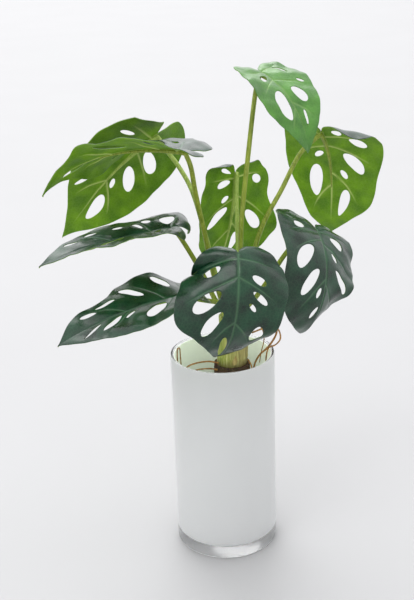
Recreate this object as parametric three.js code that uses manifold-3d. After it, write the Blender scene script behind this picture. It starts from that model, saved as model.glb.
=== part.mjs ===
// Swiss cheese vine cutting with nine leaves, standing in a cylinder vase of cased glass.
// Millimetres, +Z up, origin at the middle of the vase's foot, front towards -Y.
import * as THREE from 'three';
import { mergeVertices } from 'three/addons/utils/BufferGeometryUtils.js';
import Module from 'manifold-3d';

const wasm = await Module();
wasm.setup();

// Clearance between pieces that touch.
const gap = 0.3;

// Cylinder vase: a clear glass skin with a thick foot, and an opaque white lining inside it.
const vase = {
  radius: 50, height: 200, foot: 12, clearWall: 3, liningWall: 1.2, liningFloor: 1.5, lipDrop: 1, edge: 2,
};

// Trunk of the cutting, and the clump of soil and roots that holds it up in the vase.
const trunk = { footX: 9, topX: 12, radius: 15, waist: 14.6, foot: 158, top: 237, socketDepth: 12, edge: 1 };
const clump = {
  top: 189, neckRadius: 16.6, neckBottom: 140, neckFlare: 2, shoulder: 95, shoulderIn: 8, shoulderX: 2,
  fullBelow: 75, footEdge: 2, topEdge: 0.7,
};

// Leaf stalks leave the trunk top in a ring, with one in the middle.
const stalk = { radius: 2.4, ring: 10.6, socketClearance: 0.5, upright: 5 };

// Leaf blades.
const blade = { thickness: 0.8, steps: 24, widest: 0.368, lobeDepth: 0.135 };

// Corners around each round piece, and the length of one step along a bent one.
const facets = { vase: 40, arc: 3, trunk: 24, socket: 10, stalk: 8, root: 6, stalkStep: 12, rootStep: 5 };

const colours = {
  clearGlass: '#e6ecec',
  whiteGlass: '#dfe3e4',
  soil: '#33251c',
  bark: '#a3a255',
  stalk: '#84903c',
  paleStalk: '#a3bb5c',
  darkLeaf: '#2c4a30',
  brightLeaf: '#5d8a1e',
  root: '#96683a',
};

// Half a leaf lies between its rib and its margin. Rays leave the rib one after another: ray 0 runs
// along the notch at the stalk, ray 9 is the tip. Lengths are shares of the leaf's length.
const leafMargin = [
  [-0.1, 0.075], [-0.135, 0.17], [-0.075, 0.285], [0.06, 0.352], [0.235, 0.368],
  [0.425, 0.325], [0.61, 0.232], [0.785, 0.122], [0.925, 0.034], [1, 0],
];
const ribStations = [0, 0, 0.012, 0.04, 0.095, 0.19, 0.34, 0.53, 0.76, 1];
const rayAngles = [165, 140, 112, 92, 78, 66, 56, 47, 36, 25];
const lastRay = leafMargin.length - 1;

// Each leaf: the rib's start, its length, its direction (turn about Z from +X, pitch above the horizon,
// roll), and how far it bends on its way to the tip. Each half: how it folds up from the rib and curls,
// how high its margin lifts from the lobe to the tip, how far its margin reaches at each ray as a share
// of the plain leaf's, and its holes (ray, share of the way out, half sizes of both).
const leaves = {
  a: {
    base: [40.9, 20, 459.1], length: 92.1, width: 1, turn: -44.5, pitch: -16.1, roll: -1.6,
    arch: 71.8, tipCurl: 18.8, swerve: -2.2, twist: 28, lobe: 8.8,
    right: {
      fold: [9.5, 6.1], curl: [-10.3, -12.9], lift: [9, 0.1, 4.4, 1.3, -1.5, -1, -0.3, 0.1],
      reach: [0.98, 1, 1.07, 0.97, 1, 1.02, 1.03, 1.03, 1.06, 1],
      holes: [[4.17, 0.35, 0.35, 0.17], [6.13, 0.42, 0.75, 0.29]],
    },
    left: {
      fold: [5.4, 8.5], curl: [-2.9, -7.9], lift: [6.6, -0.6, 0.1, -1.1, 1.1, 1.4, 0.7, 0],
      reach: [1.02, 1.02, 1.04, 1.02, 1.04, 1.02, 1.05, 1.02, 1.02, 1],
      holes: [[3.03, 0.59, 0.75, 0.09], [4.6, 0.72, 0.13, 0.1], [5.83, 0.44, 0.45, 0.21],
        [7.17, 0.4, 0.4, 0.09]],
    },
    stalk: [[18, 2, 276], [21, 7, 326], [28, 12, 384], [37, 19, 446]],
    bearing: null, colour: 'brightLeaf',
  },
  b: {
    base: [100, 60.4, 395.8], length: 136, width: 1.05, turn: 60.2, pitch: -39.5, roll: 0.5,
    arch: 69.3, tipCurl: -61.6, swerve: -12.2, twist: -7.8, lobe: 15.5,
    right: {
      fold: [9.1, -1.8], curl: [-19, -14.4], lift: [-11, 0.7, 6.3, 3, 0.3, -0.6, -1.8, -3.7],
      reach: [1.02, 1.04, 1.08, 1.06, 1.02, 1.01, 1.19, 1.12, 1.08, 1],
      holes: [[2.77, 0.26, 0.54, 0.09], [3.87, 0.56, 0.35, 0.16], [5.23, 0.48, 0.38, 0.22],
        [6.13, 0.28, 0.16, 0.09], [7.13, 0.5, 0.59, 0.18]],
    },
    left: {
      fold: [20.7, -7.2], curl: [-11.7, -13.8], lift: [-3.5, -0.9, 1.1, 1.9, -0.6, 0.2, -1.9, -1.7],
      reach: [0.9, 0.86, 0.87, 0.9, 0.92, 0.99, 1.01, 1.17, 1.14, 1],
      holes: [[5.3, 0.25, 0.16, 0.12], [6.3, 0.46, 0.61, 0.21]],
    },
    stalk: [[28, 13, 277], [41, 26, 315], [60, 38, 346], [80, 50, 379]],
    bearing: 25, colour: 'brightLeaf',
  },
  c: {
    base: [17.3, 50.1, 361], length: 128, width: 0.8, turn: 118.7, pitch: -84.6, roll: -8.4,
    arch: -28.8, tipCurl: -26.6, swerve: 2.6, twist: 12.1, lobe: 85.8,
    right: {
      fold: [-5.9, -8.5], curl: [-12.9, -19.5], lift: [6, 1.2, 0.9, -12.4, -6.2, -8.3, -2.7, 5.2],
      reach: [0.73, 0.87, 0.95, 1.02, 0.97, 1.2, 1.2, 1.11, 1.09, 1],
      holes: [[3.17, 0.65, 0.32, 0.12], [5.37, 0.52, 0.3, 0.19], [6.93, 0.34, 0.5, 0.15]],
    },
    left: {
      fold: [17.3, 12.3], curl: [-15.6, -28.4], lift: [6.7, -0.7, -0.6, -1.5, -0.3, 2, 0.7, -2.5],
      reach: [0.99, 0.99, 0.97, 0.87, 0.96, 1, 1.12, 1.08, 1.06, 1],
      holes: [[2.07, 0.32, 0.27, 0.19], [3.47, 0.32, 0.38, 0.19], [4.8, 0.23, 0.19, 0.1],
        [5.47, 0.44, 0.28, 0.3]],
    },
    stalk: [[17, 18, 270], [18, 27, 294], [18, 35, 317], [18, 43, 342]],
    bearing: 70, colour: 'brightLeaf',
  },
  d: {
    base: [14.3, -79.9, 324.2], length: 130.1, width: 1, turn: -89, pitch: -33.3, roll: -6.9,
    arch: 137.8, tipCurl: -16.6, swerve: -4.7, twist: -21.2, lobe: 47.7,
    right: {
      fold: [-23.4, 8.5], curl: [-29.5, 6.4], lift: [-4.5, -5.7, -1, 3.8, 6.8, 3.3, 1.5, -2.2],
      reach: [0.9, 0.94, 1.02, 1.07, 1.08, 1.24, 1.03, 0.93, 0.96, 1],
      holes: [[3.67, 0.44, 0.43, 0.15], [5.2, 0.49, 0.32, 0.24], [6.03, 0.58, 0.25, 0.29],
        [7.63, 0.36, 0.62, 0.23]],
    },
    left: {
      fold: [-11.2, 3.4], curl: [-24, -5.7], lift: [-5, -1.6, 1.6, 5.4, 12.8, 2.2, -1.2, 0.9],
      reach: [0.91, 0.94, 0.93, 0.99, 1.02, 1.01, 1.08, 1, 1.01, 1],
      holes: [[4.37, 0.38, 0.25, 0.14], [5.13, 0.46, 0.17, 0.17], [5.69, 0.33, 0.12, 0.09],
        [6.3, 0.7, 0.37, 0.15]],
    },
    stalk: [[17, -12, 262], [16, -30, 294], [15, -54, 314]],
    bearing: 295, colour: 'darkLeaf',
  },
  e: {
    base: [87.4, -8.3, 321.7], length: 123.9, width: 1, turn: -69.3, pitch: -17.8, roll: -28.1,
    arch: 119.5, tipCurl: 15.5, swerve: -17.6, twist: 14.3, lobe: 0,
    right: {
      fold: [4.6, 5.9], curl: [-3.1, -23.1], lift: [0.6, -2.6, -0.7, 1.5, -0.7, -1.8, -2.2, -1.6],
      reach: [1.05, 1.12, 1.17, 1.11, 1.04, 1.15, 1.25, 1.18, 1.11, 1],
      holes: [[2.95, 0.5, 0.35, 0.13], [4.83, 0.52, 0.4, 0.23], [5.93, 0.44, 0.29, 0.24],
        [6.73, 0.22, 0.15, 0.09], [7.4, 0.3, 0.16, 0.17]],
    },
    left: {
      fold: [5.9, -53.3], curl: [-12.6, -7.8], lift: [-2.1, -1.3, -4.9, 1.3, 12.2, 7.5, -2, -3.4],
      reach: [1.02, 1.03, 1.05, 1.1, 1.07, 1.18, 1.17, 1.17, 1.14, 1],
      holes: [[3.7, 0.39, 0.42, 0.16], [5.03, 0.26, 0.18, 0.09], [5.64, 0.58, 0.2, 0.29]],
    },
    stalk: [[34, -5, 258], [46, -7, 276], [60, -9, 299], [76, -14, 318]],
    bearing: -20, colour: 'darkLeaf',
  },
  f: {
    base: [-55.8, 53.8, 399.7], length: 138.8, width: 1.12, turn: 180, pitch: -32.2, roll: 11.1,
    arch: 30.6, tipCurl: -21.1, swerve: 13.1, twist: 48.2, lobe: -18.1,
    right: {
      fold: [-16.7, -22.6], curl: [-25.4, -13.7], lift: [-7.5, -2.5, -0.9, 1.8, 1.4, -1.5, -2.2, -0.9],
      reach: [0.93, 1.05, 1.11, 1.08, 1.04, 1.06, 1.1, 1.11, 1.02, 1],
      holes: [[4.3, 0.48, 0.43, 0.23], [5.6, 0.43, 0.32, 0.24], [6.43, 0.22, 0.16, 0.09],
        [7.3, 0.4, 0.45, 0.26]],
    },
    left: {
      fold: [19.8, 5.1], curl: [6.7, 0.8], lift: [2.8, 2.2, 2.6, 0.9, 0.8, -0.4, -0.5, -0.2],
      reach: [0.9, 0.87, 0.96, 0.95, 0.97, 0.98, 0.95, 0.9, 0.93, 1],
      holes: [[3.6, 0.56, 0.18, 0.16], [6.23, 0.68, 0.12, 0.19]],
    },
    stalk: [[-4, 13, 273], [-12, 19, 308], [-24, 36, 350], [-36, 50, 370], [-45, 55, 382]],
    bearing: 115, colour: 'brightLeaf',
  },
  g: {
    base: [-27, -30, 402.1], length: 136.6, width: 1, turn: 172.9, pitch: 8.6, roll: 3.1,
    arch: 39.3, tipCurl: 31.2, swerve: -11.8, twist: 43.3, lobe: 0,
    right: {
      fold: [4.3, 16.6], curl: [-4.3, -27], lift: [2.1, 0.8, 3.7, 7.3, -0.7, -9.8, -4.6, 0.4],
      reach: [1.08, 1.11, 1.12, 1.09, 1.11, 1.19, 1.19, 1.02, 0.96, 1],
      holes: [[3.45, 0.52, 0.22, 0.15], [4.25, 0.55, 0.22, 0.27], [5.4, 0.54, 0.33, 0.27],
        [7.45, 0.5, 0.3, 0.3]],
    },
    left: {
      fold: [8.8, -4], curl: [-0.5, -3.5], lift: [2.3, 0.4, 2.2, 1.1, -1.9, 3.4, 1.2, 0.1],
      reach: [0.97, 0.96, 0.96, 1, 1.03, 1.08, 1.14, 0.96, 1, 1],
      holes: [[3.5, 0.52, 0.22, 0.15], [4.3, 0.55, 0.2, 0.17], [5.9, 0.52, 0.36, 0.26]],
    },
    stalk: [[-7, -2, 283], [-14, -8, 325], [-20, -18, 361], [-23.5, -27, 388]],
    bearing: 160, colour: 'darkLeaf',
  },
  h: {
    base: [-40.2, -9.9, 327.8], length: 127.9, width: 1, turn: 174.4, pitch: -10, roll: 7.2,
    arch: 2.3, tipCurl: 10.7, swerve: -25.7, twist: -14.8, lobe: 92.4,
    right: {
      fold: [25.5, 15], curl: [-34.2, -29.9], lift: [-1.1, 0.1, -1.5, -2.1, -1, -1.9, 1.2, 0.4],
      reach: [1.01, 1.02, 1.03, 1.02, 1.02, 1.03, 1.03, 1.08, 1.04, 1],
      holes: [[3.2, 0.34, 0.64, 0.21], [4.5, 0.44, 0.22, 0.1], [5.09, 0.33, 0.14, 0.16],
        [5.68, 0.49, 0.18, 0.09], [6.41, 0.67, 0.2, 0.09], [7.09, 0.73, 0.2, 0.14]],
    },
    left: {
      fold: [7.5, 9], curl: [-4.3, 11.2], lift: [-3.4, -2.7, -0.3, -0.4, -1.3, 4.1, 2.2, -0.2],
      reach: [0.92, 0.9, 0.94, 0.98, 0.99, 1.02, 1.02, 1.04, 1.07, 1],
      holes: [[3.5, 0.52, 0.22, 0.15], [4.3, 0.55, 0.2, 0.17], [5.9, 0.52, 0.36, 0.26]],
    },
    stalk: [[-6, -5, 256], [-14, -6, 276], [-24, -8, 297], [-34, -10, 316]],
    bearing: 205, colour: 'darkLeaf',
  },
  i: {
    base: [-28.7, -46, 277.4], length: 125, width: 1, turn: 191.4, pitch: -6.2, roll: 7.6,
    arch: 14, tipCurl: 3, swerve: -14.5, twist: -23.2, lobe: 40,
    right: {
      fold: [8.3, 20], curl: [-12.6, -12.1], lift: [-3.8, -2.1, 8.4, 2.9, -1.5, -3.3, 0.4, 1.3],
      reach: [1.02, 1.02, 1.04, 1.07, 1.04, 1.04, 0.92, 1.12, 1.11, 1],
      holes: [[3.8, 0.64, 0.32, 0.23], [5.3, 0.61, 0.19, 0.26], [6.27, 0.74, 0.33, 0.09],
        [7.03, 0.67, 0.2, 0.15]],
    },
    left: {
      fold: [11.3, -5], curl: [-13.7, -15.7], lift: [0, 0.2, 0.5, 0.3, -0.3, 0.5, -0.3, -0.6],
      reach: [1, 1, 1, 1, 1.01, 1.02, 1.02, 1.08, 1.11, 1],
      holes: [[4.87, 0.48, 0.45, 0.24], [6.26, 0.27, 0.15, 0.14], [6.81, 0.41, 0.19, 0.28],
        [7.5, 0.45, 0.12, 0.32]],
    },
    stalk: [[5, -15, 248], [-3, -24, 259], [-12, -34, 265], [-21, -42, 270]],
    bearing: 250, colour: 'darkLeaf',
  },
};

// Aerial roots: thickness and the points that each one runs through.
const roots = {
  root_left: {
    radius: 0.9,
    points: [[-3.8, -10, 192.5], [-15, -10, 194.3], [-33, -10, 190], [-40.5, -11, 181], [-41.5, -10, 168]],
  },
  root_left_lower: {
    radius: 0.8,
    points: [[-5.2, -12.4, 186.5], [-14, -13.5, 188.5], [-29, -13.5, 186], [-38, -14, 176]],
  },
  root_left_loop: {
    radius: 0.8,
    points: [[-42.5, 0, 174], [-43.3, 1, 194], [-42.6, 3, 203], [-41, 6, 202], [-40.5, 8, 192],
      [-40, 9, 176]],
  },
  root_right: {
    radius: 1.2,
    points: [[28.6, 3, 226], [38, 6, 231], [50, 8, 226], [52.5, 8, 214], [48, 7, 205], [42, 6, 198],
      [36.5, 6, 193], [31.5, 6, 184], [29.5, 6, 174]],
  },
  root_right_outer: {
    radius: 0.9,
    points: [[28.4, -2, 219], [40, -2, 223], [53, 0, 221], [55.5, 0, 211], [51, 0, 205], [44.5, 0, 202],
      [42, 0, 194], [41.5, 0, 184], [41, 0, 172]],
  },
  root_right_thin: {
    radius: 0.6,
    points: [[26.3, 9, 223], [36, 12, 221], [40.5, 12, 212], [40.5, 11.5, 204], [38, 11, 194], [36, 11, 182]],
  },
  root_front: { radius: 0.8, points: [[24.2, -8, 194], [27, -8.5, 188], [29, -8, 176]] },
};

const radians = THREE.MathUtils.degToRad;
const point = (xyz) => new THREE.Vector3(...xyz);
const mix = (pair, share) => pair[0] + (pair[1] - pair[0]) * share;
const group = new THREE.Group();

function addMesh(name, geometry, colour, roughness = 0.5) {
  const material = new THREE.MeshStandardMaterial({ color: colours[colour], roughness, metalness: 0 });
  const mesh = new THREE.Mesh(geometry, material);
  mesh.name = name;
  group.add(mesh);
}

// A geometry as a manifold solid, for cutting.
function solidOf(geometry) {
  const bare = geometry.clone();
  bare.deleteAttribute('normal');
  bare.deleteAttribute('uv');
  const merged = mergeVertices(bare, 1e-4);
  return new wasm.Manifold(new wasm.Mesh({
    numProp: 3,
    vertProperties: new Float32Array(merged.attributes.position.array),
    triVerts: new Uint32Array(merged.index.array),
  }));
}

function geometryOf(solid) {
  const mesh = solid.getMesh();
  const geometry = new THREE.BufferGeometry();
  geometry.setAttribute('position', new THREE.BufferAttribute(new Float32Array(mesh.vertProperties), 3));
  geometry.setIndex(new THREE.BufferAttribute(new Uint32Array(mesh.triVerts), 1));
  return geometry;
}

function indexed(positions, triangles) {
  const geometry = new THREE.BufferGeometry();
  geometry.setAttribute('position', new THREE.Float32BufferAttribute(positions, 3));
  geometry.setIndex(triangles);
  return geometry;
}

// A body of level round sections, listed from its lower cap to its last cap.
function stackOfRings(rings, sides) {
  const positions = [];
  for (const { x, z, radius } of rings) {
    for (let i = 0; i < sides; i += 1) {
      const angle = (2 * Math.PI * i) / sides;
      positions.push(x + radius * Math.cos(angle), radius * Math.sin(angle), z);
    }
  }
  const first = rings[0];
  const last = rings[rings.length - 1];
  const firstCentre = rings.length * sides;
  positions.push(first.x, 0, first.z, last.x, 0, last.z);
  const triangles = [];
  for (let i = 0; i < sides; i += 1) {
    const next = (i + 1) % sides;
    for (let ring = 0; ring < rings.length - 1; ring += 1) {
      const low = ring * sides;
      const high = low + sides;
      triangles.push(low + i, low + next, high + next, low + i, high + next, high + i);
    }
    const end = (rings.length - 1) * sides;
    triangles.push(firstCentre, next, i, firstCentre + 1, end + i, end + next);
  }
  return indexed(positions, triangles);
}

// A round bar along a smooth curve.
function bar(points, radius, sides, stepLength) {
  const path = new THREE.CatmullRomCurve3(points);
  const section = new THREE.Shape();
  for (let i = 0; i < sides; i += 1) {
    const angle = (2 * Math.PI * i) / sides;
    const corner = [radius * Math.cos(angle), radius * Math.sin(angle)];
    if (i === 0) section.moveTo(...corner);
    else section.lineTo(...corner);
  }
  section.closePath();
  const fewestSteps = 3;
  const steps = Math.max(fewestSteps, Math.round(path.getLength() / stepLength));
  return new THREE.ExtrudeGeometry(section, { steps, extrudePath: path, bevelEnabled: false });
}

// Vase. Both glasses are turned about the Z axis.
function turnedVase() {
  const { radius, height, foot, clearWall, liningWall, liningFloor, lipDrop, edge } = vase;
  const inside = radius - clearWall;
  const outer = [];
  const arc = (list, x, z, size, from, to) => {
    for (let i = 0; i <= facets.arc; i += 1) {
      const angle = radians(from + ((to - from) * i) / facets.arc);
      list.push(new THREE.Vector2(x + size * Math.cos(angle), z + size * Math.sin(angle)));
    }
  };
  const upright = (profile) => new THREE.LatheGeometry(profile, facets.vase).rotateX(Math.PI / 2);
  outer.push(new THREE.Vector2(0, 0));
  arc(outer, radius - edge, edge, edge, -90, 0);
  const rim = clearWall / 2;
  arc(outer, radius - rim, height - rim, rim, 0, 180);
  arc(outer, inside - edge, foot + edge, edge, 0, -90);
  outer.push(new THREE.Vector2(0, foot));
  addMesh('vase_clear_glass', upright(outer), 'clearGlass', 0.05);

  const liningOutside = inside - gap;
  const liningInside = liningOutside - liningWall;
  const bottom = foot + gap;
  const lining = [new THREE.Vector2(0, bottom)];
  arc(lining, liningOutside - edge, bottom + edge, edge, -90, 0);
  lining.push(new THREE.Vector2(liningOutside, height - lipDrop));
  lining.push(new THREE.Vector2(liningInside, height - lipDrop));
  lining.push(new THREE.Vector2(liningInside, bottom + liningFloor));
  lining.push(new THREE.Vector2(0, bottom + liningFloor));
  addMesh('vase_white_lining', upright(lining), 'whiteGlass', 0.3);
  return { insideRadius: liningInside, floor: bottom + liningFloor };
}

// Soil and root clump: it fills the lower vase, narrows to a neck, and holds the trunk's foot in a
// plain hole.
function soilClump(inner) {
  const { neckRadius, footEdge, topEdge } = clump;
  const wide = inner.insideRadius - 2 * gap;
  const hole = trunk.radius + gap;
  const bottom = inner.floor + gap;
  const rings = [
    { x: 0, z: bottom, radius: wide - footEdge },
    { x: 0, z: bottom + footEdge, radius: wide },
    { x: 0, z: clump.fullBelow, radius: wide },
    { x: clump.shoulderX, z: clump.shoulder, radius: wide - clump.shoulderIn },
    { x: trunk.footX, z: clump.neckBottom, radius: neckRadius + clump.neckFlare },
    { x: trunk.footX, z: clump.top - 2 * topEdge, radius: neckRadius },
    { x: trunk.footX, z: clump.top, radius: neckRadius - topEdge },
    { x: trunk.footX, z: clump.top, radius: hole },
    { x: trunk.footX, z: trunk.foot - gap, radius: hole },
  ];
  addMesh('soil_clump', stackOfRings(rings, facets.trunk), 'soil', 0.95);
}

// Where each stalk stands in the trunk's top.
function socketOf(leaf) {
  if (leaf.bearing === null) return [trunk.topX, 0];
  const angle = radians(leaf.bearing);
  return [trunk.topX + stalk.ring * Math.cos(angle), stalk.ring * Math.sin(angle)];
}

function trunkWithSockets() {
  const { footX, topX, radius, waist, foot, top, socketDepth, edge } = trunk;
  const rings = [
    { x: footX, z: foot, radius: radius - edge },
    { x: footX, z: foot + 2 * edge, radius },
    { x: footX, z: clump.top + 4 * edge, radius },
    { x: (footX + topX) / 2, z: (clump.top + top) / 2, radius: waist },
    { x: topX, z: top - socketDepth - 2 * edge, radius },
    { x: topX, z: top - edge, radius },
    { x: topX, z: top, radius: radius - edge },
  ];
  const socketRadius = stalk.radius + stalk.socketClearance;
  let solid = solidOf(stackOfRings(rings, facets.trunk));
  for (const leaf of Object.values(leaves)) {
    const [x, y] = socketOf(leaf);
    const socket = new THREE.CylinderGeometry(socketRadius, socketRadius, 2 * socketDepth, facets.socket);
    socket.rotateX(Math.PI / 2).translate(x, y, top);
    solid = solid.subtract(solidOf(socket));
  }
  addMesh('trunk', geometryOf(solid), 'bark', 0.7);
}

// Smooth curve through evenly numbered keys.
function throughKeys(keys, at) {
  const i = Math.min(Math.max(Math.floor(at), 0), keys.length - 2);
  const f = at - i;
  const key = (j) => keys[Math.min(Math.max(j, 0), keys.length - 1)];
  const [p0, p1, p2, p3] = [key(i - 1), key(i), key(i + 1), key(i + 2)];
  return 0.5 * (2 * p1 + (p2 - p0) * f + (2 * p0 - 5 * p1 + 4 * p2 - p3) * f * f
    + (3 * p1 - p0 - 3 * p2 + p3) * f * f * f);
}

// Flat half leaf: ray number and share of the way from rib to margin, to places along and across it.
function flatPoint(ray, share, reaches) {
  const stretch = throughKeys(reaches, ray);
  const start = ray <= 1 ? 0 : throughKeys(ribStations, ray);
  const alongEnd = start + (throughKeys(leafMargin.map((pair) => pair[0]), ray) - start) * stretch;
  const acrossEnd = throughKeys(leafMargin.map((pair) => pair[1]), ray) * stretch;
  const angle = radians(throughKeys(rayAngles, ray));
  const reach = Math.hypot(alongEnd - start, acrossEnd) / 2;
  const rest = 1 - share;
  const bow = 2 * share * rest;
  return [
    start * rest * rest + (start + Math.cos(angle) * reach) * bow + alongEnd * share * share,
    Math.sin(angle) * reach * bow + acrossEnd * share * share,
  ];
}

// Turns one axis towards another by an angle, in place.
function turnTowards(from, to, angle) {
  const first = from.clone();
  from.multiplyScalar(Math.cos(angle)).addScaledVector(to, Math.sin(angle));
  to.multiplyScalar(Math.cos(angle)).addScaledVector(first, -Math.sin(angle));
}

// The rib in space: points with the directions along it, up from the blade and across to its right half.
function ribOf(leaf) {
  const turn = radians(leaf.turn);
  const pitch = radians(leaf.pitch);
  const along = point([Math.cos(turn) * Math.cos(pitch), Math.sin(turn) * Math.cos(pitch), Math.sin(pitch)]);
  const up = point([-Math.cos(turn) * Math.sin(pitch), -Math.sin(turn) * Math.sin(pitch), Math.cos(pitch)]);
  const across = new THREE.Vector3().crossVectors(along, up);
  turnTowards(up, across, radians(leaf.roll));
  const place = point(leaf.base);
  const stations = [{ place: place.clone(), along: along.clone(), up: up.clone(), across: across.clone() }];
  for (let i = 0; i < blade.steps; i += 1) {
    const share = (i + 0.5) / blade.steps;
    const bend = (leaf.arch + leaf.tipCurl * 4 * share ** 3) / blade.steps;
    turnTowards(along, up, radians(-bend));
    turnTowards(along, across, radians(leaf.swerve / blade.steps));
    turnTowards(up, across, radians(leaf.twist / blade.steps));
    place.addScaledVector(along, leaf.length / blade.steps);
    stations.push({ place: place.clone(), along: along.clone(), up: up.clone(), across: across.clone() });
  }
  return stations;
}

function stationAt(stations, share) {
  const at = Math.min(Math.max(share, 0), 1) * blade.steps;
  const i = Math.min(Math.floor(at), blade.steps - 1);
  const result = {};
  for (const name of ['place', 'along', 'up', 'across']) {
    result[name] = stations[i][name].clone().lerp(stations[i + 1][name], at - i);
  }
  return result;
}

// The middle surface of a leaf: flat place along and across, side 1 for the right half and -1 for the left.
function bentPoint(leaf, stations, along, across, side) {
  const half = side > 0 ? leaf.right : leaf.left;
  const width = blade.widest * leaf.length * leaf.width;
  const out = across * leaf.length * leaf.width;
  const frame = stationAt(stations, along);
  const back = Math.min(along, 0) * leaf.length;
  const depth = blade.lobeDepth * leaf.length;
  const place = frame.place.clone();
  let up = frame.up;
  if (back < 0) {
    const bend = radians(leaf.lobe) / depth;
    const angle = -back * bend;
    if (leaf.lobe === 0) place.addScaledVector(frame.along, back);
    else {
      place.addScaledVector(frame.along, -Math.sin(angle) / bend);
      place.addScaledVector(frame.up, -(1 - Math.cos(angle)) / bend);
    }
    up = frame.up.clone().multiplyScalar(Math.cos(angle)).addScaledVector(frame.along, -Math.sin(angle));
  }
  const share = Math.min(Math.max(along, 0), 1);
  const fold = radians(mix(half.fold, share)) * (1 + back / depth);
  const curl = radians(mix(half.curl, share)) || 1e-4;
  const end = fold + (curl * out) / width;
  const fromLobe = Math.min(Math.max((along + blade.lobeDepth) / (1 + blade.lobeDepth), 0), 1);
  const lift = throughKeys(half.lift, fromLobe * (half.lift.length - 1));
  const sideways = ((Math.sin(end) - Math.sin(fold)) * width) / curl;
  const upwards = (-(Math.cos(end) - Math.cos(fold)) * width) / curl + lift * (out / width) ** 2;
  return place.addScaledVector(frame.across, side * sideways).addScaledVector(up, upwards);
}

// The block of the grid that a hole takes, a little larger than the hole.
function blockOf([ray, share, halfRay, halfShare], shareLines) {
  const rayMargin = 0.08;
  const shareMargin = 0.02;
  return {
    rays: [
      Math.floor((ray - halfRay - rayMargin) * 10) / 10,
      Math.ceil((ray + halfRay + rayMargin) * 10) / 10,
    ],
    shares: [
      Math.max(...shareLines.filter((line) => line < share - halfShare - shareMargin)),
      Math.min(...shareLines.filter((line) => line > share + halfShare + shareMargin)),
    ],
  };
}

function sortedLines(lines) {
  return [...new Set(lines.map((line) => Math.round(line * 1000) / 1000))].sort((a, b) => a - b);
}

// Grid lines of one half, with lines around and through each hole, and none too far apart.
function gridOf(holes) {
  const widestStep = 0.95;
  let shareLines = [0, 0.1, 0.5, 0.9, 1];
  const blocks = holes.map((hole) => blockOf(hole, shareLines));
  const middle = ([low, high]) => (low + high) / 2;
  shareLines = sortedLines([...shareLines, ...blocks.map((block) => middle(block.shares))]);
  const rayLines = sortedLines([0, 1, 2, lastRay,
    ...blocks.flatMap((block) => [block.rays[0], middle(block.rays), block.rays[1]])]);
  for (let i = rayLines.length - 2; i >= 0; i -= 1) {
    const step = rayLines[i + 1] - rayLines[i];
    const parts = Math.ceil(step / widestStep);
    for (let part = parts - 1; part > 0; part -= 1) {
      rayLines.splice(i + 1, 0, rayLines[i] + (step * part) / parts);
    }
  }
  return { rayLines, shareLines, blocks };
}

// Triangles between two lines of places whose rays don't match.
function zipLines(low, high, add) {
  let i = 0;
  let j = 0;
  while (i < low.length - 1 || j < high.length - 1) {
    if (j === high.length - 1 || (i < low.length - 1 && low[i + 1][0] <= high[j + 1][0])) {
      add(low[i], low[i + 1], high[j]);
      i += 1;
    } else {
      add(low[i], high[j + 1], high[j]);
      j += 1;
    }
  }
}

// Flat triangles of one half, given to add() as three places on it. The rib has the rays of both halves.
function coverHalf({ rayLines, shareLines, blocks }, holes, ribRays, add) {
  const inside = (block, ray, share) => ray > block.rays[0] && ray < block.rays[1]
    && share > block.shares[0] && share < block.shares[1];
  const quad = (a, b, c, d) => {
    add(a, b, c);
    add(a, c, d);
  };
  zipLines(ribRays.map((ray) => [ray, 0]), rayLines.map((ray) => [ray, shareLines[1]]), add);
  for (let i = 0; i < rayLines.length - 1; i += 1) {
    for (let j = 1; j < shareLines.length - 1; j += 1) {
      const [r0, r1] = [rayLines[i], rayLines[i + 1]];
      const [s0, s1] = [shareLines[j], shareLines[j + 1]];
      if (blocks.some((block) => inside(block, (r0 + r1) / 2, (s0 + s1) / 2))) continue;
      quad([r0, s0], [r1, s0], [r1, s1], [r0, s1]);
    }
  }
  blocks.forEach((block, index) => {
    const [ray, share, halfRay, halfShare] = holes[index];
    const [[r0, r1], [s0, s1]] = [block.rays, block.shares];
    const rays = rayLines.filter((line) => line >= r0 - 1e-6 && line <= r1 + 1e-6);
    const shares = shareLines.filter((line) => line >= s0 - 1e-6 && line <= s1 + 1e-6);
    const rim = [
      ...rays.slice(0, -1).map((line) => [line, s0]),
      ...shares.slice(0, -1).map((line) => [r1, line]),
      ...rays.slice(1).reverse().map((line) => [line, s1]),
      ...shares.slice(1).reverse().map((line) => [r0, line]),
    ];
    const edge = rim.map(([line, part]) => {
      const angle = Math.atan2((2 * part - s0 - s1) / (s1 - s0), (2 * line - r0 - r1) / (r1 - r0));
      return [ray + halfRay * Math.cos(angle), share + halfShare * Math.sin(angle)];
    });
    rim.forEach((corner, i) => {
      const next = (i + 1) % rim.length;
      quad(corner, rim[next], edge[next], edge[i]);
    });
  });
}

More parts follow.
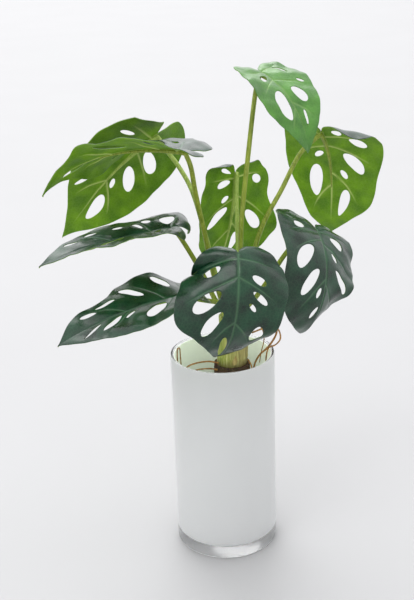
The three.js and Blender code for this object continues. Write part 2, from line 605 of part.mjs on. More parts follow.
// A leaf blade: the same triangles on its face and its underside, closed by walls along every edge.
function leafBlade(leaf) {
  const stations = ribOf(leaf);
  const face = [];
  const underside = [];
  const known = new Map();
  const vertexAt = ([ray, share], side) => {
    const [along, across] = flatPoint(ray, share, (side > 0 ? leaf.right : leaf.left).reach);
    const onRib = Math.abs(across) < 1e-6;
    const key = `${along.toFixed(5)} ${across.toFixed(5)} ${onRib ? 0 : side}`;
    if (known.has(key)) return known.get(key);
    const step = 1e-3;
    const middle = bentPoint(leaf, stations, along, across, side);
    let normal = stationAt(stations, along).up;
    if (!onRib) {
      const further = bentPoint(leaf, stations, along + step, across, side).sub(middle);
      const outer = bentPoint(leaf, stations, along, across + step, side).sub(middle);
      normal = outer.cross(further).multiplyScalar(side).normalize();
    }
    face.push(...middle.clone().addScaledVector(normal, blade.thickness / 2).toArray());
    underside.push(...middle.clone().addScaledVector(normal, -blade.thickness / 2).toArray());
    known.set(key, known.size);
    return known.get(key);
  };
  const triangles = [];
  const grids = { 1: gridOf(leaf.right.holes), [-1]: gridOf(leaf.left.holes) };
  const ribRays = sortedLines([...grids[1].rayLines, ...grids[-1].rayLines]);
  for (const side of [1, -1]) {
    coverHalf(grids[side], (side > 0 ? leaf.right : leaf.left).holes, ribRays, (a, b, c) => {
      const corners = [vertexAt(a, side), vertexAt(b, side), vertexAt(c, side)];
      if (side > 0) corners.reverse();
      if (new Set(corners).size === 3) triangles.push(corners);
    });
  }
  const count = known.size;
  const edges = new Set(triangles.flatMap(([a, b, c]) => [`${a} ${b}`, `${b} ${c}`, `${c} ${a}`]));
  const all = [];
  for (const [a, b, c] of triangles) {
    all.push(a, b, c, c + count, b + count, a + count);
    for (const [from, to] of [[a, b], [b, c], [c, a]]) {
      if (!edges.has(`${to} ${from}`)) all.push(to, from, from + count, to, from + count, to + count);
    }
  }
  return indexed([...face, ...underside], all);
}

// A leaf stalk: upright in its socket, then along its bow, ending just under the start of the rib.
function leafStalk(leaf) {
  const [x, y] = socketOf(leaf);
  const bottom = trunk.top - trunk.socketDepth + gap;
  const { up, along } = ribOf(leaf)[0];
  const end = point(leaf.base).addScaledVector(up, -(blade.thickness / 2 + gap + stalk.radius));
  end.addScaledVector(along, -gap);
  const foot = [bottom, trunk.top - 2 * trunk.edge, trunk.top + stalk.upright].map((z) => point([x, y, z]));
  return bar([...foot, ...leaf.stalk.map(point), end], stalk.radius, facets.stalk, facets.stalkStep);
}

const inner = turnedVase();
soilClump(inner);
trunkWithSockets();
for (const [letter, leaf] of Object.entries(leaves)) {
  addMesh(`leaf_${letter}`, leafBlade(leaf), leaf.colour, 0.35);
  addMesh(`stalk_${letter}`, leafStalk(leaf), 'cf'.includes(letter) ? 'paleStalk' : 'stalk', 0.5);
}
for (const [name, root] of Object.entries(roots)) {
  addMesh(name, bar(root.points.map(point), root.radius, facets.root, facets.rootStep), 'root', 0.7);
}

export default group;
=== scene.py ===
# Swiss cheese vine cutting in a cylinder vase of cased glass. Metres, +Z up, front towards -Y.
import math

import bpy
import numpy as np
from mathutils import Matrix, Vector, noise


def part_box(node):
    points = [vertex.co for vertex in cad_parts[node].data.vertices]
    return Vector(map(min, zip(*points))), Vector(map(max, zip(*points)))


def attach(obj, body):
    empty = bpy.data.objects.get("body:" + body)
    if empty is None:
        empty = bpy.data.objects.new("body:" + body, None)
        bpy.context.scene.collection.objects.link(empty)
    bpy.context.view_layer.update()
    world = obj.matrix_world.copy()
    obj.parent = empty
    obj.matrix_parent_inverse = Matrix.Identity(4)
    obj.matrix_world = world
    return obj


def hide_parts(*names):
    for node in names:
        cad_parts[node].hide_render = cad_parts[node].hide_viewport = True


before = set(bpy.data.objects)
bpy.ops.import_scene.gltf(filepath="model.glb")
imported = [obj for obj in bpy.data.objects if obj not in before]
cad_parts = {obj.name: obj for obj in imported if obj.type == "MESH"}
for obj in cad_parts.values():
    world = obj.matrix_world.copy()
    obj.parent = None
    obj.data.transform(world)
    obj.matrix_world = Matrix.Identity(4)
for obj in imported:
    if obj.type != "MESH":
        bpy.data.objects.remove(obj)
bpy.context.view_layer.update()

MM = 0.001

# Camera: eye level above the leaves, looking down on the vase, with the picture tipped a little.
camera_place = (-0.013, -0.875, 0.587)
camera_pitch = math.radians(-20.9)
camera_roll = math.radians(-1.9)
ahead = Vector((0, math.cos(camera_pitch), math.sin(camera_pitch)))
level = Vector((1, 0, 0))
upright = level.cross(ahead)
right = level * math.cos(camera_roll) + upright * math.sin(camera_roll)
above = upright * math.cos(camera_roll) - level * math.sin(camera_roll)
camera_data = bpy.data.cameras.new("camera")
camera_data.lens = 60
camera_data.sensor_width = 36
camera = bpy.data.objects.new("camera", camera_data)
camera.matrix_world = Matrix.Translation(camera_place) @ Matrix((right, above, -ahead)).transposed().to_4x4()
bpy.context.collection.objects.link(camera)
bpy.context.scene.camera = camera
bpy.context.scene.view_settings.view_transform = "Standard"


# Clear glass: the vase's skin and its thick foot, drawn glass with a rounded, fire-polished lip.
# It is one turned shell, standing on the table by its foot.

def give(tree, node, inputs):
    """Gives a node's inputs, by name or number, as values or as sockets to link."""
    for at, value in inputs.items():
        if isinstance(value, bpy.types.NodeSocket):
            tree.links.new(value, node.inputs[at])
        else:
            node.inputs[at].default_value = value


def add_node(tree, kind, settings=None, **inputs):
    """Adds a node with its settings. A space in an input's name is written as an underscore."""
    made = tree.nodes.new(kind)
    for name, value in (settings or {}).items():
        setattr(made, name, value)
    give(tree, made, {name.replace("_", " "): value for name, value in inputs.items()})
    return made


def mix_colours(tree, factor, first, second, blend="MIX"):
    made = add_node(tree, "ShaderNodeMix", {"data_type": "RGBA", "blend_type": blend})
    give(tree, made, {0: factor, 6: first, 7: second})
    return made.outputs[2]


def reckon(tree, operation, first, second=0.0, third=0.0):
    made = add_node(tree, "ShaderNodeMath", {"operation": operation})
    give(tree, made, {0: first, 1: second, 2: third})
    return made.outputs[0]


def remap(tree, value, low, high, to_low=0.0, to_high=1.0):
    return add_node(tree, "ShaderNodeMapRange", Value=value, From_Min=low, From_Max=high,
                    To_Min=to_low, To_Max=to_high).outputs[0]


def cloudy(tree, place, scale, detail):
    """Soft noise from 0 to 1."""
    return add_node(tree, "ShaderNodeTexNoise", Vector=place, Scale=scale, Detail=detail).outputs["Fac"]


def raised(tree, height, strength, distance):
    """Small relief, as the normals that a shader takes."""
    bump = add_node(tree, "ShaderNodeBump", Strength=strength, Distance=distance, Height=height)
    return bump.outputs["Normal"]


def colour(red, green, blue):
    """A display colour, 0 to 255, as the linear colour that a shader takes."""
    linear = []
    for part in (red, green, blue):
        part /= 255
        linear.append(part / 12.92 if part <= 0.04045 else ((part + 0.055) / 1.055) ** 2.4)
    return (*linear, 1)


def new_material(name):
    material = bpy.data.materials.new(name)
    material.use_nodes = True
    tree = material.node_tree
    return material, tree, tree.nodes["Principled BSDF"]


def object_place(tree):
    return tree.nodes.new("ShaderNodeTexCoord").outputs["Object"]


def new_piece(name, vertices, faces, materials, slot, replaced=()):
    """A mesh that rides on the one body and stands for its solids. Its slot argument is not used."""
    mesh = bpy.data.meshes.new(name)
    mesh.from_pydata([tuple(v) for v in vertices], [], [tuple(f) for f in faces])
    mesh.validate()
    for material in materials:
        mesh.materials.append(material)
    mesh.polygons.foreach_set("use_smooth", [True] * len(mesh.polygons))
    piece = bpy.data.objects.new(name, mesh)
    bpy.context.collection.objects.link(piece)
    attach(piece, "root")
    if replaced:
        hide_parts(*replaced)
    return piece


def capped_faces(rings, sides):
    """Faces over rings of corners, closed by a fan at each end. Corners 0 and 1 are the fans' middles."""
    faces = []
    for i in range(sides):
        nearer, further = 2 + i, 2 + (i + 1) % sides
        faces.append((0, further, nearer))
        for ring in range(rings - 1):
            low, high = ring * sides, (ring + 1) * sides
            faces.append((low + nearer, low + further, high + further, high + nearer))
        last = (rings - 1) * sides
        faces.append((1, last + nearer, last + further))
    return faces


def ringed(rings, sides):
    """Vertices and faces of level round sections, each (x, z, radius), capped at both ends."""
    vertices = [(rings[0][0], 0, rings[0][1]), (rings[-1][0], 0, rings[-1][1])]
    for x, z, radius in rings:
        for i in range(sides):
            angle = 2 * math.pi * i / sides
            vertices.append((x + radius * math.cos(angle), radius * math.sin(angle), z))
    return vertices, capped_faces(len(rings), sides)


def rounded_edge(radius, z, bend, start, end):
    """Sections about the Z axis along an arc of radius bend, whose middle is at that radius and height."""
    steps = 8
    turns = [math.radians(start + (end - start) * i / steps) for i in range(steps + 1)]
    return [(0, z + bend * math.sin(turn), radius + bend * math.cos(turn)) for turn in turns]


gap = 0.3 * MM
vase_sides = 160
vase_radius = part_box("vase_clear_glass")[1][0]
vase_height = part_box("vase_clear_glass")[1][2]
lining_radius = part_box("vase_white_lining")[1][0]
lining_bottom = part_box("vase_white_lining")[0][2]
skin_inside = lining_radius + gap
foot_height = lining_bottom - gap
edge = 2 * MM
lip = (vase_radius - skin_inside) / 2

skin_rings = rounded_edge(vase_radius - edge, edge, edge, -90, 0)
skin_rings += rounded_edge(vase_radius - lip, vase_height - lip, lip, 0, 180)
skin_rings += rounded_edge(skin_inside - edge, foot_height + edge, edge, 0, -90)

clear_glass, tree, shader = new_material("clear_glass")
waves = cloudy(tree, object_place(tree), 14.0, 2.0)
give(tree, shader, {"Base Color": colour(254, 255, 255), "Transmission Weight": 1, "Roughness": 0.01,
                    "IOR": 1.38, "Normal": raised(tree, waves, 0.05, 1 * MM)})
new_piece("clear_skin", *ringed(skin_rings, vase_sides), [clear_glass], "clear_glass", ["vase_clear_glass"])


# White lining: the opaque white glass blown inside the clear skin, smooth and glossy on both sides.
# It is fused to the skin, so no air shows between them, and stops just under the skin's lip.

lining_wall = 1.2 * MM
lining_floor = 1.5 * MM
lining_top = vase_height - 1.3 * MM
lining_inside = lining_radius - lining_wall
fused = 0.05 * MM
fused_radius = skin_inside + fused
fused_bottom = foot_height - fused
half_wall = (fused_radius - lining_inside) / 2

lining_rings = rounded_edge(fused_radius - edge, fused_bottom + edge, edge, -90, 0)
lining_rings += rounded_edge(fused_radius - half_wall, lining_top - half_wall, half_wall, 0, 180)
lining_rings += [(0, lining_bottom + lining_floor, lining_inside)]

white_glass, tree, shader = new_material("white_glass")
place = object_place(tree)
clouds = cloudy(tree, place, 9.0, 3.0)
body = mix_colours(tree, clouds, colour(249, 251, 250), colour(253, 253, 253))
across_x, across_y, height = add_node(tree, "ShaderNodeSeparateXYZ", Vector=place).outputs
off_axis = reckon(tree, "SQRT", reckon(tree, "MULTIPLY_ADD", across_x, across_x,
                                       reckon(tree, "MULTIPLY", across_y, across_y)))
mid_wall = fused_radius - half_wall
inner_face = remap(tree, off_axis, mid_wall, mid_wall - 0.3 * MM)
high_up = remap(tree, height, 0.12, 0.195)
# The real glass lets daylight through; here that light is painted: above the soil the inside face is painted
# more green and given a faint glow.
painted_light_inside = reckon(tree, "MULTIPLY", inner_face, high_up)
painted_green_light_share = reckon(tree, "MULTIPLY", painted_light_inside, 0.6)
give(tree, shader, {
    "Base Color": mix_colours(tree, painted_green_light_share, body, colour(236, 250, 232)),
    "Roughness": 0.18,
    # Painted light: a faint glow on the inside face above the soil.
    "Emission Color": mix_colours(tree, painted_light_inside, colour(0, 0, 0), colour(226, 240, 220)),
    "Emission Strength": 0.26,
    "Normal": raised(tree, clouds, 0.1, 1 * MM),
})
new_piece("white_lining", *ringed(lining_rings, vase_sides), [white_glass], "white_glass",
          ["vase_white_lining"])


# Soil clump: dark damp soil held together by roots, narrowing to a neck round the trunk's foot.
# The lower vase is full of it, and its top shows as crumbs round the trunk.

trunk_low, trunk_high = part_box("trunk")
soil_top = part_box("soil_clump")[1][2]
soil_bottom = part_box("soil_clump")[0][2]
soil_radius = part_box("soil_clump")[1][0]
trunk_foot_x = 9 * MM
soil_hole = 15.3 * MM
soil_sides = 96
crumbly_from = 0.118
# x, height and radius of each level section: the body, the shoulder, the neck and the hole for the trunk.
soil_rings = [
    (0, soil_bottom, soil_radius - 2 * MM), (0, soil_bottom + 2 * MM, soil_radius), (0, 0.045, soil_radius),
    (0, 0.075, soil_radius), (0.002, 0.095, soil_radius - 8 * MM), (0.005, crumbly_from, 0.028),
    (trunk_foot_x, 0.14, 0.0186), (trunk_foot_x, 0.16, 0.0177), (trunk_foot_x, soil_top - 1.4 * MM, 0.0165),
    (trunk_foot_x, soil_top, 0.0158), (trunk_foot_x, soil_top, soil_hole), (trunk_foot_x, 0.158, soil_hole),
]


def lumpy(place, scale, size):
    """A push in every direction that changes smoothly from place to place."""
    return noise.noise_vector(Vector(place) * scale) * size


# Without a seed, this noise starts from the clock and the lumps differ each time.
noise.seed_set(5)

soil_material, tree, shader = new_material("soil")
place = object_place(tree)
crumbs = add_node(tree, "ShaderNodeTexVoronoi", Vector=place, Scale=420.0)
damp = cloudy(tree, place, 90.0, 6.0)
shade = mix_colours(tree, damp, colour(44, 30, 26), colour(122, 94, 72))
give(tree, shader, {
    "Base Color": mix_colours(tree, 0.35, shade, crumbs.outputs["Color"], "MULTIPLY"),
    "Roughness": remap(tree, damp, 0.3, 0.7, 0.75, 1.0),
    "Normal": raised(tree, crumbs.outputs["Distance"], 0.8, 1.2 * MM),
})

finer_rings = []
for (x0, z0, r0), (x1, z1, r1) in zip(soil_rings, soil_rings[1:]):
    parts = max(1, round(math.hypot(z1 - z0, r1 - r0) / (2.5 * MM)))
    finer_rings += [(x0 + (x1 - x0) * i / parts, z0 + (z1 - z0) * i / parts, r0 + (r1 - r0) * i / parts)
                    for i in range(parts)]
finer_rings.append(soil_rings[-1])
soil_vertices, soil_faces = ringed(finer_rings, soil_sides)
soil_vertices = [Vector(v) + lumpy(v, 180, 0.5 * MM) * (v[2] > crumbly_from) for v in soil_vertices]
new_piece("soil", soil_vertices, soil_faces, [soil_material], "soil", ["soil_clump"])


def crumb_nodes():
    """Geometry nodes: lumps of many sizes strewn over a surface, turned and dented each its own way."""
    group = bpy.data.node_groups.new("crumbs", "GeometryNodeTree")
    group.interface.new_socket("Geometry", in_out="INPUT", socket_type="NodeSocketGeometry")
    for name, value in (("Density", 7e5), ("Smallest", 0.3 * MM), ("Largest", 1.0 * MM)):
        group.interface.new_socket(name, in_out="INPUT", socket_type="NodeSocketFloat").default_value = value
    group.interface.new_socket("Seed", in_out="INPUT", socket_type="NodeSocketInt").default_value = 7
    group.interface.new_socket("Material", in_out="INPUT", socket_type="NodeSocketMaterial")
    group.interface.new_socket("Geometry", in_out="OUTPUT", socket_type="NodeSocketGeometry")
    given = group.nodes.new("NodeGroupInput").outputs
    strewn = add_node(group, "GeometryNodeDistributePointsOnFaces", Mesh=given["Geometry"],
                      Density=given["Density"], Seed=given["Seed"])
    lump = add_node(group, "GeometryNodeMeshIcoSphere", Radius=1.0, Subdivisions=2)
    size = add_node(group, "FunctionNodeRandomValue", {"data_type": "FLOAT"})
    give(group, size, {2: given["Smallest"], 3: given["Largest"], 8: given["Seed"]})
    turn = add_node(group, "FunctionNodeRandomValue", {"data_type": "FLOAT_VECTOR"})
    give(group, turn, {1: (6.28, 6.28, 6.28)})
    placed = add_node(group, "GeometryNodeInstanceOnPoints", Points=strewn.outputs["Points"],
                      Instance=lump.outputs["Mesh"], Rotation=turn.outputs[0], Scale=size.outputs[1])
    whole = add_node(group, "GeometryNodeRealizeInstances", Geometry=placed.outputs[0])
    dents = add_node(group, "ShaderNodeTexNoise", Scale=900.0, Detail=2.0)
    centred = add_node(group, "ShaderNodeVectorMath", {"operation": "SUBTRACT"})
    give(group, centred, {0: dents.outputs["Color"], 1: (0.5, 0.5, 0.5)})
    push = add_node(group, "ShaderNodeVectorMath", {"operation": "SCALE"}, Scale=1.2 * MM)
    give(group, push, {0: centred.outputs[0]})
    dented = add_node(group, "GeometryNodeSetPosition", Geometry=whole.outputs[0], Offset=push.outputs[0])
    finished = add_node(group, "GeometryNodeSetMaterial", Geometry=dented.outputs[0],
                        Material=given["Material"])
    give(group, group.nodes.new("NodeGroupOutput"), {"Geometry": finished.outputs[0]})
    return group


def strewn_mesh(name, vertices, faces, nodes, settings):
    """The plain mesh that a geometry node group makes over a surface."""
    base = bpy.data.meshes.new(name + "_base")
    base.from_pydata([tuple(v) for v in vertices], [], [tuple(f) for f in faces])
    holder = bpy.data.objects.new(name + "_base", base)
    bpy.context.collection.objects.link(holder)
    modifier = holder.modifiers.new("strew", "NODES")
    modifier.node_group = nodes
    for socket in nodes.interface.items_tree:
        if socket.in_out == "INPUT" and socket.name in settings:
            modifier[socket.identifier] = settings[socket.name]
    bpy.context.view_layer.update()
    result = bpy.data.meshes.new_from_object(holder.evaluated_get(bpy.context.evaluated_depsgraph_get()))
    bpy.data.objects.remove(holder)
    return result


crumb_rings = [(trunk_foot_x, 0.17, 0.0171), (trunk_foot_x, soil_top - 1.2 * MM, 0.0164),
               (trunk_foot_x, soil_top - 0.2 * MM, 0.0159)]
crumb_base_vertices, crumb_base_faces = ringed(crumb_rings, soil_sides)
crumb_base_faces = [face for face in crumb_base_faces if len(face) == 4]
crumb_mesh = strewn_mesh("crumbs", crumb_base_vertices, crumb_base_faces, crumb_nodes(),
                         {"Material": soil_material})
new_piece("soil_crumbs", [v.co for v in crumb_mesh.vertices], [p.vertices for p in crumb_mesh.polygons],
          [soil_material], "soil")


# Trunk: the cutting's thick green stem, yellow-olive with pale streaks along it, cut level at the top.
# Its foot stands in the soil and the leaf stalks leave its top in a ring.

trunk_top_x = 12 * MM
trunk_radius = 15 * MM
trunk_top = trunk_high[2]
upright_top = 0.014


def streaks():
    """Node group: long streaks along Z, broad and fine ones, for colour and relief."""
    group = bpy.data.node_groups.new("streaks", "ShaderNodeTree")
    for name in ("Across", "Along"):
        group.interface.new_socket(name, in_out="INPUT", socket_type="NodeSocketFloat")
    for name in ("Broad", "Fine"):
        group.interface.new_socket(name, in_out="OUTPUT", socket_type="NodeSocketFloat")
    across, along = group.nodes.new("NodeGroupInput").outputs[:2]
    stretch = add_node(group, "ShaderNodeCombineXYZ", X=across, Y=across, Z=along)
    scaled = add_node(group, "ShaderNodeVectorMath", {"operation": "MULTIPLY"})
    give(group, scaled, {0: object_place(group), 1: stretch.outputs[0]})
    broad, fine = (remap(group, cloudy(group, scaled.outputs[0], scale, detail), 0.3, 0.7)
                   for scale, detail in ((1.0, 3.0), (4.0, 4.0)))
    give(group, group.nodes.new("NodeGroupOutput"), {"Broad": broad, "Fine": fine})
    return group


streak_group = streaks()


def add_streaks(tree, across, along):
    """Broad and fine streaks, so many to the metre across and along."""
    made = tree.nodes.new("ShaderNodeGroup")
    made.node_tree = streak_group
    give(tree, made, {"Across": across, "Along": along})
    return made.outputs["Broad"], made.outputs["Fine"]


def fibrous(name, scales, dark, light, pale=(0, 0, 0, 1), pale_end=1.0, pale_share=0.0, rough=(0.5, 0.7),
            relief=0.0):
    """A material with fibres along Z: dark and light streaks, thin pale ones, and their relief."""
    material, tree, shader = new_material(name)
    broad, fine = add_streaks(tree, *scales)
    body = mix_colours(tree, broad, dark, light)
    body = mix_colours(tree, remap(tree, fine, 0.6, pale_end, 0, pale_share), body, pale)
    give(tree, shader, {"Base Color": body, "Roughness": remap(tree, fine, 0, 1, *rough),
                        "Normal": raised(tree, fine, relief, 0.4 * MM)})
    return material


bark, tree, shader = new_material("green_bark")
broad, fine = add_streaks(tree, 240.0, 12.0)
sideways, _, height = add_node(tree, "ShaderNodeSeparateXYZ", Vector=object_place(tree)).outputs
lime = mix_colours(tree, broad, colour(140, 158, 52), colour(188, 198, 92))
straw = mix_colours(tree, broad, colour(146, 132, 72), colour(196, 184, 118))
body = mix_colours(tree, remap(tree, sideways, -0.002, 0.016), lime, straw)
body = mix_colours(tree, remap(tree, fine, 0.55, 0.9, 0, 0.6), body, colour(222, 220, 158))
body = mix_colours(tree, remap(tree, fine, 0.1, 0.35, 0.55, 0), body, colour(98, 92, 40))
foot_stain = remap(tree, height, 0.19, 0.197, 0.7, 0.0)
give(tree, shader, {"Base Color": mix_colours(tree, foot_stain, body, colour(96, 78, 44)),
                    "Roughness": remap(tree, fine, 0, 1, 0.42, 0.62),
                    "Normal": raised(tree, fine, 0.5, 0.8 * MM)})


def trunk_radius_at(height):
    """The trunk's radius: a little waisted, with a low swelling at two old leaf scars."""
    waist_depth = 0.4 * MM
    scar_height, scar_spread = 0.35 * MM, 1.6 * MM
    share = (height - soil_top) / (trunk_top - soil_top)
    waist = -waist_depth * math.sin(math.pi * min(max(share, 0), 1))
    scars = sum(scar_height * math.exp(-((height - at) / scar_spread) ** 2) for at in (0.196, 0.219))
    return trunk_radius + waist + scars - scar_height


def trunk_x_at(height):
    share = min(max((height - soil_top) / (trunk_top - upright_top - soil_top), 0), 1)
    return trunk_foot_x + (trunk_top_x - trunk_foot_x) * share


def make_trunk():
    """The stem with its fibres as fine flutes, and a rounded top edge."""
    sides, storeys = 144, 90
    bend = 1.2 * MM
    heights = [trunk_low[2] + (trunk_top - bend - trunk_low[2]) * i / storeys for i in range(storeys + 1)]
    rings = [(trunk_x_at(z), z, trunk_radius_at(z)) for z in heights]
    x, z, radius = rings[-1]
    for degrees in (25, 50, 70, 90):
        angle = math.radians(degrees)
        rings.append((x, z + bend * math.sin(angle), radius - bend * (1 - math.cos(angle))))
    rings += [(x, trunk_top - 0.1 * MM, radius * share) for share in (0.8, 0.6, 0.4, 0.2)]
    vertices, faces = ringed(rings, sides)
    shaped = []
    for vertex in vertices:
        v = Vector(vertex)
        axis = Vector((trunk_x_at(v.z), 0, v.z))
        out = v - axis
        if out.length > trunk_radius * 0.85:
            around = math.atan2(out.y, out.x)
            flute = noise.noise(Vector((math.cos(around) * 9, math.sin(around) * 9, v.z * 18)))
            out *= 1 + 0.02 * flute
        shaped.append(axis + out)
    new_piece("trunk_stem", shaped, faces, [bark], "green_bark", ["trunk"])


def scale_leaf(foot, height, width, lean, thickness):
    """A dry, pointed scale that hugs the stem at its foot and leans out at its tip."""
    rows, columns = 16, 8
    vertices = []
    for layer in (0, 1):
        for row in range(rows + 1):
            up = row / rows
            half_width = width / 2 * (1 - up ** 1.6) * (0.75 + 0.5 * math.sin(math.pi * min(up * 1.4, 1)))
            for column in range(columns + 1):
                across = 2 * column / columns - 1
                bulge = thickness * (1 - layer) * (1 - across ** 2) * (1 - up) + 0.15 * MM * (1 - layer)
                hug = width * 0.22 * across ** 2 * (1 - up)
                vertices.append(Vector(foot) + Vector((across * half_width + up * lean,
                                                       hug - bulge - up ** 2 * 1.6 * MM, up * height)))
    wide = columns + 1
    back = (rows + 1) * wide
    faces = []
    for row in range(rows):
        for column in range(columns):
            a = row * wide + column
            faces.append((a, a + 1, a + wide + 1, a + wide))
            faces.append((a + back, a + back + wide, a + back + wide + 1, a + back + 1))
    around = list(range(wide)) + [row * wide + columns for row in range(1, rows + 1)]
    around += [rows * wide + column for column in range(columns - 1, -1, -1)]
    around += [row * wide for row in range(rows - 1, 0, -1)]
    for a, b in zip(around, around[1:] + around[:1]):
        faces.append((b, a, a + back, b + back))
    return vertices, faces


make_trunk()

dry_scale = fibrous("dry_scale", (500.0, 30.0), colour(150, 122, 66), colour(198, 176, 116))
scale_foot = (11 * MM, -15.3 * MM, 192 * MM)
scale_mesh = scale_leaf(scale_foot, height=11 * MM, width=4.5 * MM, lean=1.5 * MM, thickness=0.6 * MM)
new_piece("trunk_scale", *scale_mesh, [dry_scale], "green_bark")


# Leaf blades: nine hearts with oval holes, each 0.8 mm thick, dark and glossy above, bright and matt below.
# They are moulded with a rib and a few side veins, and each one is bent and curled its own way.

# Half a leaf lies between its rib and its margin. Rays leave the rib one after another: ray 0 runs along
# the notch at the stalk, ray 9 is the tip. Lengths are shares of the leaf's length.
leaf_margin = np.array([
    (-0.1, 0.075), (-0.135, 0.17), (-0.075, 0.285), (0.06, 0.352), (0.235, 0.368),
    (0.425, 0.325), (0.61, 0.232), (0.785, 0.122), (0.925, 0.034), (1, 0),
])
rib_stations = np.array([0, 0, 0.012, 0.04, 0.095, 0.19, 0.34, 0.53, 0.76, 1])
ray_angles = np.array([165, 140, 112, 92, 78, 66, 56, 47, 36, 25], dtype=float)
last_ray = len(leaf_margin) - 1
blade_thickness = 0.8 * MM
widest = 0.368
lobe_depth = 0.135
rib_steps = 24
edge_bulge = 0.25 * MM
# Share of the vein colour on each blade's rounded edge: a painted highlight along the margin.
painted_edge_highlight = 0.3
flat_scale = 10
